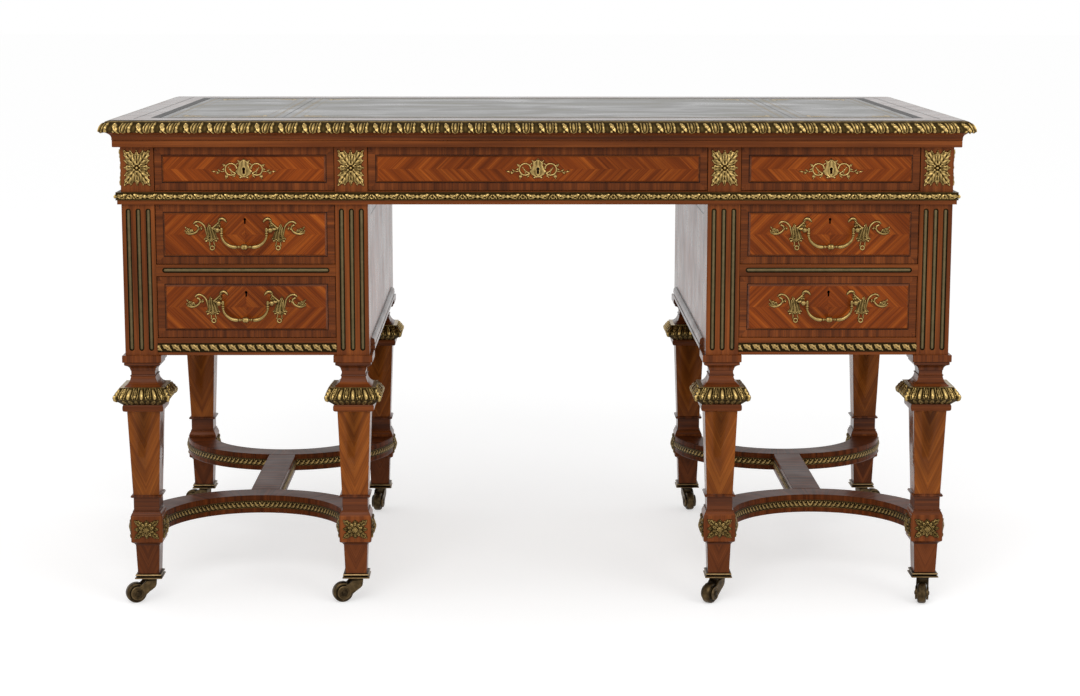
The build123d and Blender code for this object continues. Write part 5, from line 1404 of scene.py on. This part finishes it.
def leg_wood():
    """Everything wooden below the posts."""
    heads = Piece("turned_heads", "carcass", "crossbanding", ["leg_heads"])
    shafts = Piece("tapered_legs", "carcass", "kingwood", ["leg_shafts"])
    flare = curve((29.6 * MM, Z_FLARE), (19.4 * MM, Z_HIGH_NECK - 2.2 * MM), -2.3 * MM, 9)
    neck = lifted(Z_HIGH_NECK, (19.4, -2.2), (20.4, -2.0), (20.8, -1.2), (20.4, -0.4), (19, 0), (19, 6.4),
                  (19.8, 7))
    hollow = curve((19.8 * MM, Z_CAVETTO), (26.6 * MM, Z_HEAD_FILLET - 0.6 * MM), -1.9 * MM)
    fillet = lifted(Z_HEAD_FILLET, (26.6, -0.6), (28.0, 0), (28.5, 0.9), (28.5, 4.0), (28.0, 5))
    plinth = lifted(Z_PLINTH, (28.0, 0), (30.4, 0), (31, 0.6), (31, 10.9), (30.4, 11.5), (0, 11.5))
    foot = curve((17.2 * MM, Z_FOOT), (19.1 * MM, Z_ANKLE), 0.0, 5)
    ankle = curve((19.1 * MM, Z_ANKLE), (24.6 * MM, Z_BLOCK), -0.8 * MM, 6)
    block = lifted(Z_BLOCK, (24.6, 0), (25.5, 1), (25.5, 43), (24.8, 44))
    shoulder = curve((24.8 * MM, Z_SHOULDER), (21.6 * MM, Z_LOW_NECK - 1.5 * MM), 0.4 * MM, 6)
    low_neck = lifted(Z_LOW_NECK, (21.6, -1.5), (22.4, -1.2), (22.4, -0.3), (20.5, 0), (20.5, 21))
    astragal = lifted(Z_ASTRAGAL, (20.5, 0), (23.4, 0.4), (24.6, 1.5), (24.6, 3.2), (23.4, 4.4), (20.9, 5))
    shaft = [(20.9 * MM, Z_SHAFT), (26.2 * MM, Z_BED - 0.3 * MM)]
    bed = lifted(Z_BED, (26.2, -0.3), (29.0, 0), (31.6, 1.2), (32.5, 3.4), (32.5, 8.6), (31.4, 11.4),
                 (29, 12), (22, 12))
    sections = (           # piece, profile, finish, slant of the stripes, and how far the edges are eased
        (heads, [(0, Z_FLARE), *flare], "crossbanding", 90, 0.8), (heads, neck, "moulding", 90, 0.8),
        (heads, hollow, "moulding", 0, 0.8), (heads, fillet, "moulding", 90, 0.8),
        # the foot takes the darker veneer, painted shade near the floor
        (heads, plinth, "crossbanding", 0, 0.8), (shafts, [(0, Z_FOOT), *foot], "foot_wood", 24, 0.8),
        (shafts, ankle, "moulding", 90, 0.8), (shafts, block, "post_wood", 0, 1.4),
        (shafts, shoulder, "crossbanding", 90, 0.8), (shafts, low_neck, "moulding", 90, 0.8),
        (shafts, astragal, "moulding", 0, 0.8), (shafts, shaft, "leg_wood", 24, 1.0),
        (shafts, bed, "crossbanding", 90, 0.8))
    for axis in LEGS.values():
        for piece, profile, finish, slant, ease in sections:
            squared(piece, axis, profile, finish, slant, ease * MM)
    heads.make()
    shafts.make()


def collar_relief(share, t):
    """Gadroons over the belly of a collar, leafy bars between them and a curled leaf at each corner."""
    x, b = np.abs(2 * share - 1) * 42, t * 36.7
    height = highest(
        0.5 * np.exp(-((b - 14.6) / 0.9) ** 2),
        leaf(x, b, (42, 34), (42, 9), 13, 2.2, 4),
        1.5 * (1 / (1 + np.exp(-(b - 35.6) * 4))))
    for at in (0, 20.2):
        height = highest(height, dome(x, b, (at, 25.2), (3.5, 10.6), 2.9),
                         leaf(x, b, (at, 1.0), (at, 14.0), 11, 1.2, 3))
    for at in (10.1, 30.3):
        rims = ([(at + side * 4.4, 35), (at + side * 4.6, 22), (at + side * 2.6, 15.6)] for side in SIDES)
        height = highest(height, *(ridge(x, b, rim, [1.0, 1.0, 0.8], 1.5) for rim in rims),
                         leaf(x, b, (at, 35.4), (at, 15.2), 7.4, 1.9, 4),
                         leaf(x, b, (at, 0.4), (at, 13.8), 9, 1.1, 3))
    return np.minimum(height, 3.2) * MM


def collars():
    """Gilt collars of the legs."""
    piece = Piece("gilt_collars", "carcass", "ormolu", ["leg_collars"])
    levels = ((9.8, 0.3), (15.4, 5.0), (20.6, 9.8), (21.6, 12.2), (20.4, 15.6), (16.8, 20.6), (13.0, 25.4),
              (12.4, 27.9))
    profile = [(out * MM, Z_COLLAR + z * MM) for out, z in levels]
    for axis in LEGS.values():
        for place, _ in ring_sides(CORE_W / 2, CORE_W / 2, axis):
            relief_run(piece, place, 84, profile, collar_relief, rows=42)
    piece.make()


# ---------------------------------------------------------------- stretchers
ARC_Y = LEG_Y + 4 * MM
ARC_END = 29.5 * MM
ARC_OUT = math.hypot(PEDESTAL_X - LEG_INNER + BLOCK_W / 2, ARC_END)
ARC_IN = ARC_OUT - 49 * MM
CROSSBAR_HALF = 24 * MM
CROSSBAR_CLEAR = 25.9 * MM
BAND_CLEAR = 0.9 * MM
ARC_STEPS = 60
Z_STRETCHER, Z_STRETCHER_TOP = span_z("stretchers")


def on_arc(side, end, radius, turn, z):
    """A point of an arc, from its radius and its turn from the outer leg."""
    x, y = side * PEDESTAL_X - end * radius * np.cos(turn), end * (ARC_Y - radius * np.sin(turn))
    return np.stack(np.broadcast_arrays(x, y, z), -1)


def bent(side, end):
    """Place function of an arc: share runs from leg to leg, out shrinks its radius from the hollow side."""
    def place(share, out, z):
        radius = ARC_IN - out
        first = np.arcsin(ARC_END / radius)
        return on_arc(side, end, radius, first + (1 - share) * (math.pi - 2 * first), z)
    return place


def stretchers():
    """Crossbanded arcs and crossbars with eased edges."""
    piece = Piece("curved_stretchers", "carcass", "crossbanding", ["stretchers"])
    ease, width = 1.2 * MM, ARC_OUT - ARC_IN
    low, high = Z_STRETCHER, Z_STRETCHER_TOP
    section = np.array([
        (-width + ease, low), (-ease, low), (0, low + ease), (0, high - ease),
        (-ease, high), (-width + ease, high), (-width, high - ease), (-width, low + ease)])
    run = distances(section)
    share = np.linspace(0, 1, ARC_STEPS + 1)[:, None]
    length = share * math.pi * (ARC_OUT - width / 2)
    ring, last = len(section), ARC_STEPS * len(section)
    for side in SIDES:
        for end in SIDES:
            points = bent(side, end)(share, section[None, :, 0], section[None, :, 1]).reshape(-1, 3)
            grain = np.stack(np.broadcast_arrays(run[None, :], length), -1).reshape(-1, 2)
            grain = grain + rng.uniform(0, 4, 2)
            faces = grid_faces(ARC_STEPS + 1, ring, wrap=True)[:, ::-1]
            # the arcs and crossbars take the darker veneer, painted shade under the desk
            piece.add(points, faces, "stretcher_wood", grain)
            piece.add(points, [range(ring), range(last, last + ring)[::-1]], "stretcher_wood", grain)
        across = np.linspace(-CROSSBAR_HALF, CROSSBAR_HALF, 13)
        reach = ARC_Y - np.sqrt(ARC_OUT ** 2 - across ** 2)
        near = np.column_stack([across, -reach])
        outline = np.concatenate([near, near[::-1] * (1, -1)])
        face = Face((side * PEDESTAL_X, 0, 0), (1, 0, 0), (0, 1, 0))
        plate(piece, face, outline, low, high, "stretcher_wood", (1, 0), ease)
    piece.make()


def bulged(side, end, late):
    """Place function of half an arc's outer face, between a leg and the crossbar."""
    def place(share, out, z):
        radius = ARC_OUT + out
        first, gap = np.arcsin(ARC_END / radius), np.arcsin(CROSSBAR_CLEAR / radius)
        start = math.pi / 2 + gap if late else first
        return on_arc(side, end, radius, start + share * (math.pi / 2 - first - gap), z)
    return place


def laurel(a, b):
    """Slanting laurel leaves and curls between two thin lips."""
    height = 0.45 * (np.abs(b - LAUREL_DEPTH / 2) > 6.5)
    for shift in (-LAUREL_PERIOD, 0, LAUREL_PERIOD):
        height = highest(height, leaf(a, b, (-5.0 + shift, 2.0), (3.6 + shift, 12.6), 4.6, 1.0, 3, 0.08),
                         ridge(a, b, arc((3.4 + shift, 4.8), 2.4, -150, 150, 8, 0.5), [0.7] * 8, 1.1),
                         dome(a, b, (5.6 + shift, 11.6), (1.2, 1.0), 0.7))
    return height


def stretcher_mounts():
    """Gilt bands on both faces of the arcs and along the crossbars, with leaves that lean from the middle."""
    piece = Piece("laurel_bands", "carcass", "ormolu", ["stretcher_bands"])
    low, high = span_z("stretcher_bands")
    low, high = low + BAND_CLEAR, high - BAND_CLEAR
    profile = [(0.7 * MM, low), (0.75 * MM, (low + high) / 2), (0.7 * MM, high)]

    def band(place, length, mirrored=True):
        count = 2 * round(length / 2 / (LAUREL_PERIOD * MM))

        def height(share, t):
            turns = np.abs(share - 0.5) * count if mirrored else share * count
            return laurel((turns % 1 - 0.5) * LAUREL_PERIOD, t * LAUREL_DEPTH) * MM

        relief_run(piece, place, count * 10, profile, height, rows=14, caps=True, finish="dull_ormolu")

    bar = ARC_Y - ARC_OUT - 2 * MM
    for side in SIDES:
        for end in SIDES:
            band(bent(side, end), math.pi * ARC_IN)
            for late in (False, True):
                band(bulged(side, end, late), math.pi / 2 * ARC_OUT - ARC_END - CROSSBAR_CLEAR, False)
            band(straight(side * PEDESTAL_X + end * CROSSBAR_HALF, 0, (end, 0), bar), 2 * bar)
    piece.make()


# ---------------------------------------------------------------- casters
CHEEK = [(-8.2, 36.4), (-7.6, 30), (-6.4, 25.6), (-3.2, 22.4), (4, 17.6), (12, 11.4), (18.5, 7.0), (24, 5.8),
         (29.4, 7.6), (32.4, 12.4), (32, 18.4), (28.8, 23.6), (22, 27.2), (15.4, 31), (9.6, 36.4)]
STEM = [(0.01, 36.5), (11, 36.6), (12.2, 37.4), (13.0, 38.6), (13.0, 40.0), (12.4, 40.7),
        (4.0, 41), (4.0, 49.1)]
KNOB = [(11.4, 9.6), (11.4, 10.1), (10.6, 10.7), (9.3, 10.7), (8.7, 10.0), (7.5, 10.0), (6.9, 10.7),
        (5.6, 10.8), (5.0, 10.1), (3.8, 10.2), (3.5, 11.2), (2.9, 11.8), (1.7, 12.1), (0.01, 12.2)]
WEB = [(-8.0, 36.6), (-7.5, 30), (-6.3, 25.6), (-3.4, 23.2), (-1.6, 24.6), (-1.0, 30),
       (2.4, 34.4), (9.2, 36.6)]
WHEEL_FACE = [(2.1, 6.6), (5.0, 6.9), (6.0, 6.7), (6.6, 6.0), (8.0, 6.0), (8.7, 6.8), (10.2, 6.8),
              (10.9, 6.0), (12.2, 6.0), (12.9, 6.9), (14.3, 6.9), (15.7, 6.0), (16.6, 4.4), (16.8, 2.4)]


def caps():
    """Brass caps under the feet, with two bright mouldings."""
    piece = Piece("moulded_caps", "carcass", "caster_brass", ["caster_caps"])
    profile = lifted(Z_CAP, (4.2, 0), (20.4, 0), (21.8, 0.5), (22, 1.2), (21.2, 2.3), (19.4, 3.0),
                     (18.5, 3.7), (18.6, 4.5), (20.4, 5.1), (21.0, 6.2), (20.4, 7.4), (18.0, 8.3),
                     (17.2, 8.5))
    wear = np.repeat([0.3, 0.5, 0.8, 0.9, 0.8, 0.3, 0.05, 0.1, 0.75, 0.95, 0.8, 0.4, 0.3], 4)
    for axis in LEGS.values():
        squared(piece, axis, profile, "caster_brass", 90, 0.5 * MM, wear)
    piece.make()


def horn_plane(leg):
    """Swivel axis on the floor, with a along the trail and b upwards, and the place of the axle."""
    axle = np.array(JOINTS[f"{leg}_wheel_spin"]["pos_m"])
    swivel = LEGS[leg] * (1, 1, 0)
    trail = (axle - swivel) * (1, 1, 0)
    return Face(swivel, trail / np.linalg.norm(trail), (0, 0, 1)), axle


def horn(leg):
    """The swivelling horn: stem, turned crown, two shaped cheeks, a web and the axle's ends."""
    node = f"caster_fork_{leg}"
    piece = Piece(f"caster_horn_{leg}", node, "caster_brass", [node])
    face, axle = horn_plane(leg)
    lathe(piece, face(0, 0), (0, 0, 1), STEM, "caster_brass", 36, 0.45)
    outline = smooth(CHEEK, 4) * MM
    for side in SIDES:
        cheek = Face(face(0, 0, side * 7.4 * MM), side * face.a, face.b)
        plate(piece, cheek, outline * (side, 1), 0, 2.5 * MM, "caster_brass", bevel=0.9 * MM)
        lathe(piece, axle, side * face.c, KNOB, "caster_brass", 36)
    plate(piece, face, np.array(WEB) * MM, -7.6 * MM, 7.6 * MM, "caster_brass", bevel=0.0)
    piece.make()


def wheel(leg):
    """A turned brass wheel with rings on both its faces."""
    node = f"caster_wheel_{leg}"
    piece = Piece(f"turned_wheel_{leg}", node, "caster_brass", [node])
    face, axle = horn_plane(leg)
    profile = [(r, -c) for r, c in WHEEL_FACE] + WHEEL_FACE[::-1] + [(2.1, -6.6)]
    lathe(piece, axle, face.c, profile, "caster_brass", 44, 0.5)
    piece.make()


# ---------------------------------------------------------------- the desk
top_veneers()
hides()
edge_mount()
cornice()
posts()
rails()
frieze()
pedestals()
waist_band()
base_mouldings()
plaques()
leg_wood()
collars()
stretchers()
stretcher_mounts()
caps()
for drawer_name in DRAWERS:
    drawer(drawer_name)
    fittings(drawer_name)
    tongue(drawer_name)
    if not drawer_name.startswith("frieze"):
        bail(drawer_name)
for leg_name in LEGS:
    horn(leg_name)
    wheel(leg_name)


# ---------------------------------------------------------------- room
def seen(tree):
    """1 for rays from the eye, a reflection or glass, and 0 for the light that falls on the piece."""
    path = tree.nodes.new("ShaderNodeLightPath")
    first, second = (tree.nodes.new("ShaderNodeMath") for _ in range(2))
    for step in (first, second):
        step.operation = "MAXIMUM"
    tree.links.new(path.outputs["Is Camera Ray"], first.inputs[0])
    tree.links.new(path.outputs["Is Glossy Ray"], first.inputs[1])
    tree.links.new(first.outputs[0], second.inputs[0])
    tree.links.new(path.outputs["Is Transmission Ray"], second.inputs[1])
    return second.outputs[0]


def white_room():
    """White surroundings in the picture and in reflections, with a milder light on the piece itself."""
    world = bpy.data.worlds.new("studio")
    bpy.context.scene.world = world
    world.use_nodes = True
    tree = world.node_tree
    tree.nodes.clear()
    mild, white = tree.nodes.new("ShaderNodeBackground"), tree.nodes.new("ShaderNodeBackground")
    mild.inputs["Strength"].default_value = 0.78
    white.inputs["Strength"].default_value = 1.0
    for shade in (mild, white):
        shade.inputs["Color"].default_value = (1, 1, 1, 1)
    mixer, out = tree.nodes.new("ShaderNodeMixShader"), tree.nodes.new("ShaderNodeOutputWorld")
    tree.links.new(seen(tree), mixer.inputs[0])
    tree.links.new(mild.outputs[0], mixer.inputs[1])
    tree.links.new(white.outputs[0], mixer.inputs[2])
    tree.links.new(mixer.outputs[0], out.inputs["Surface"])


def floor():
    """A white floor that keeps the soft shadow near the casters."""
    g = Graph("studio floor")
    plain = g.node("BsdfDiffuse", [("Color", (0.8, 0.8, 0.8, 1))])
    shadowed = g.node("BsdfDiffuse", [("Color", (0.64, 0.64, 0.64, 1))])
    glow = g.node("Emission", [("Color", (1, 1, 1, 1)), ("Strength", 0.49)])
    pale = g.node("AddShader", [(0, shadowed.outputs[0]), (1, glow.outputs[0])])
    both = g.node("MixShader", [(0, seen(g.tree)), (1, plain.outputs[0]), (2, pale.outputs[0])])
    g.tree.links.new(both.outputs[0], g.output.inputs["Surface"])
    mesh = bpy.data.meshes.new("studio_floor")
    mesh.from_pydata([(-40, -40, 0), (40, -40, 0), (40, 40, 0), (-40, 40, 0)], [], [(0, 1, 2, 3)])
    mesh.materials.append(g.material)
    made = bpy.data.objects.new("studio_floor", mesh)
    bpy.context.scene.collection.objects.link(made)


def area(name, at, target, size, power):
    """A soft lamp that looks at a point."""
    lamp = bpy.data.lights.new(name, "AREA")
    lamp.shape, lamp.size, lamp.energy = "SQUARE", size, power
    made = bpy.data.objects.new(name, lamp)
    made.location = at
    made.rotation_euler = (Vector(target) - Vector(at)).to_track_quat("-Z", "Y").to_euler()
    bpy.context.scene.collection.objects.link(made)


def camera():
    """The eye of the picture: level with the writing surface and a little above it."""
    lens = bpy.data.cameras.new("eye")
    lens.lens, lens.sensor_width = 76.23, 36.0
    made = bpy.data.objects.new("eye", lens)
    made.location = (-0.0372, -3.9512, HEIGHT + 0.2134)
    made.rotation_euler = tuple(math.radians(angle) for angle in (80.9, -0.06, -0.642))
    bpy.context.scene.collection.objects.link(made)
    bpy.context.scene.camera = made


white_room()
floor()
area("key", (-0.6, -3.8, 3.0), (0, 0, 0.5), 2.4, 66)
area("fill", (2.4, -3.4, 1.8), (0, 0, 0.5), 2.0, 36)
camera()
bpy.context.scene.view_settings.view_transform = "Standard"
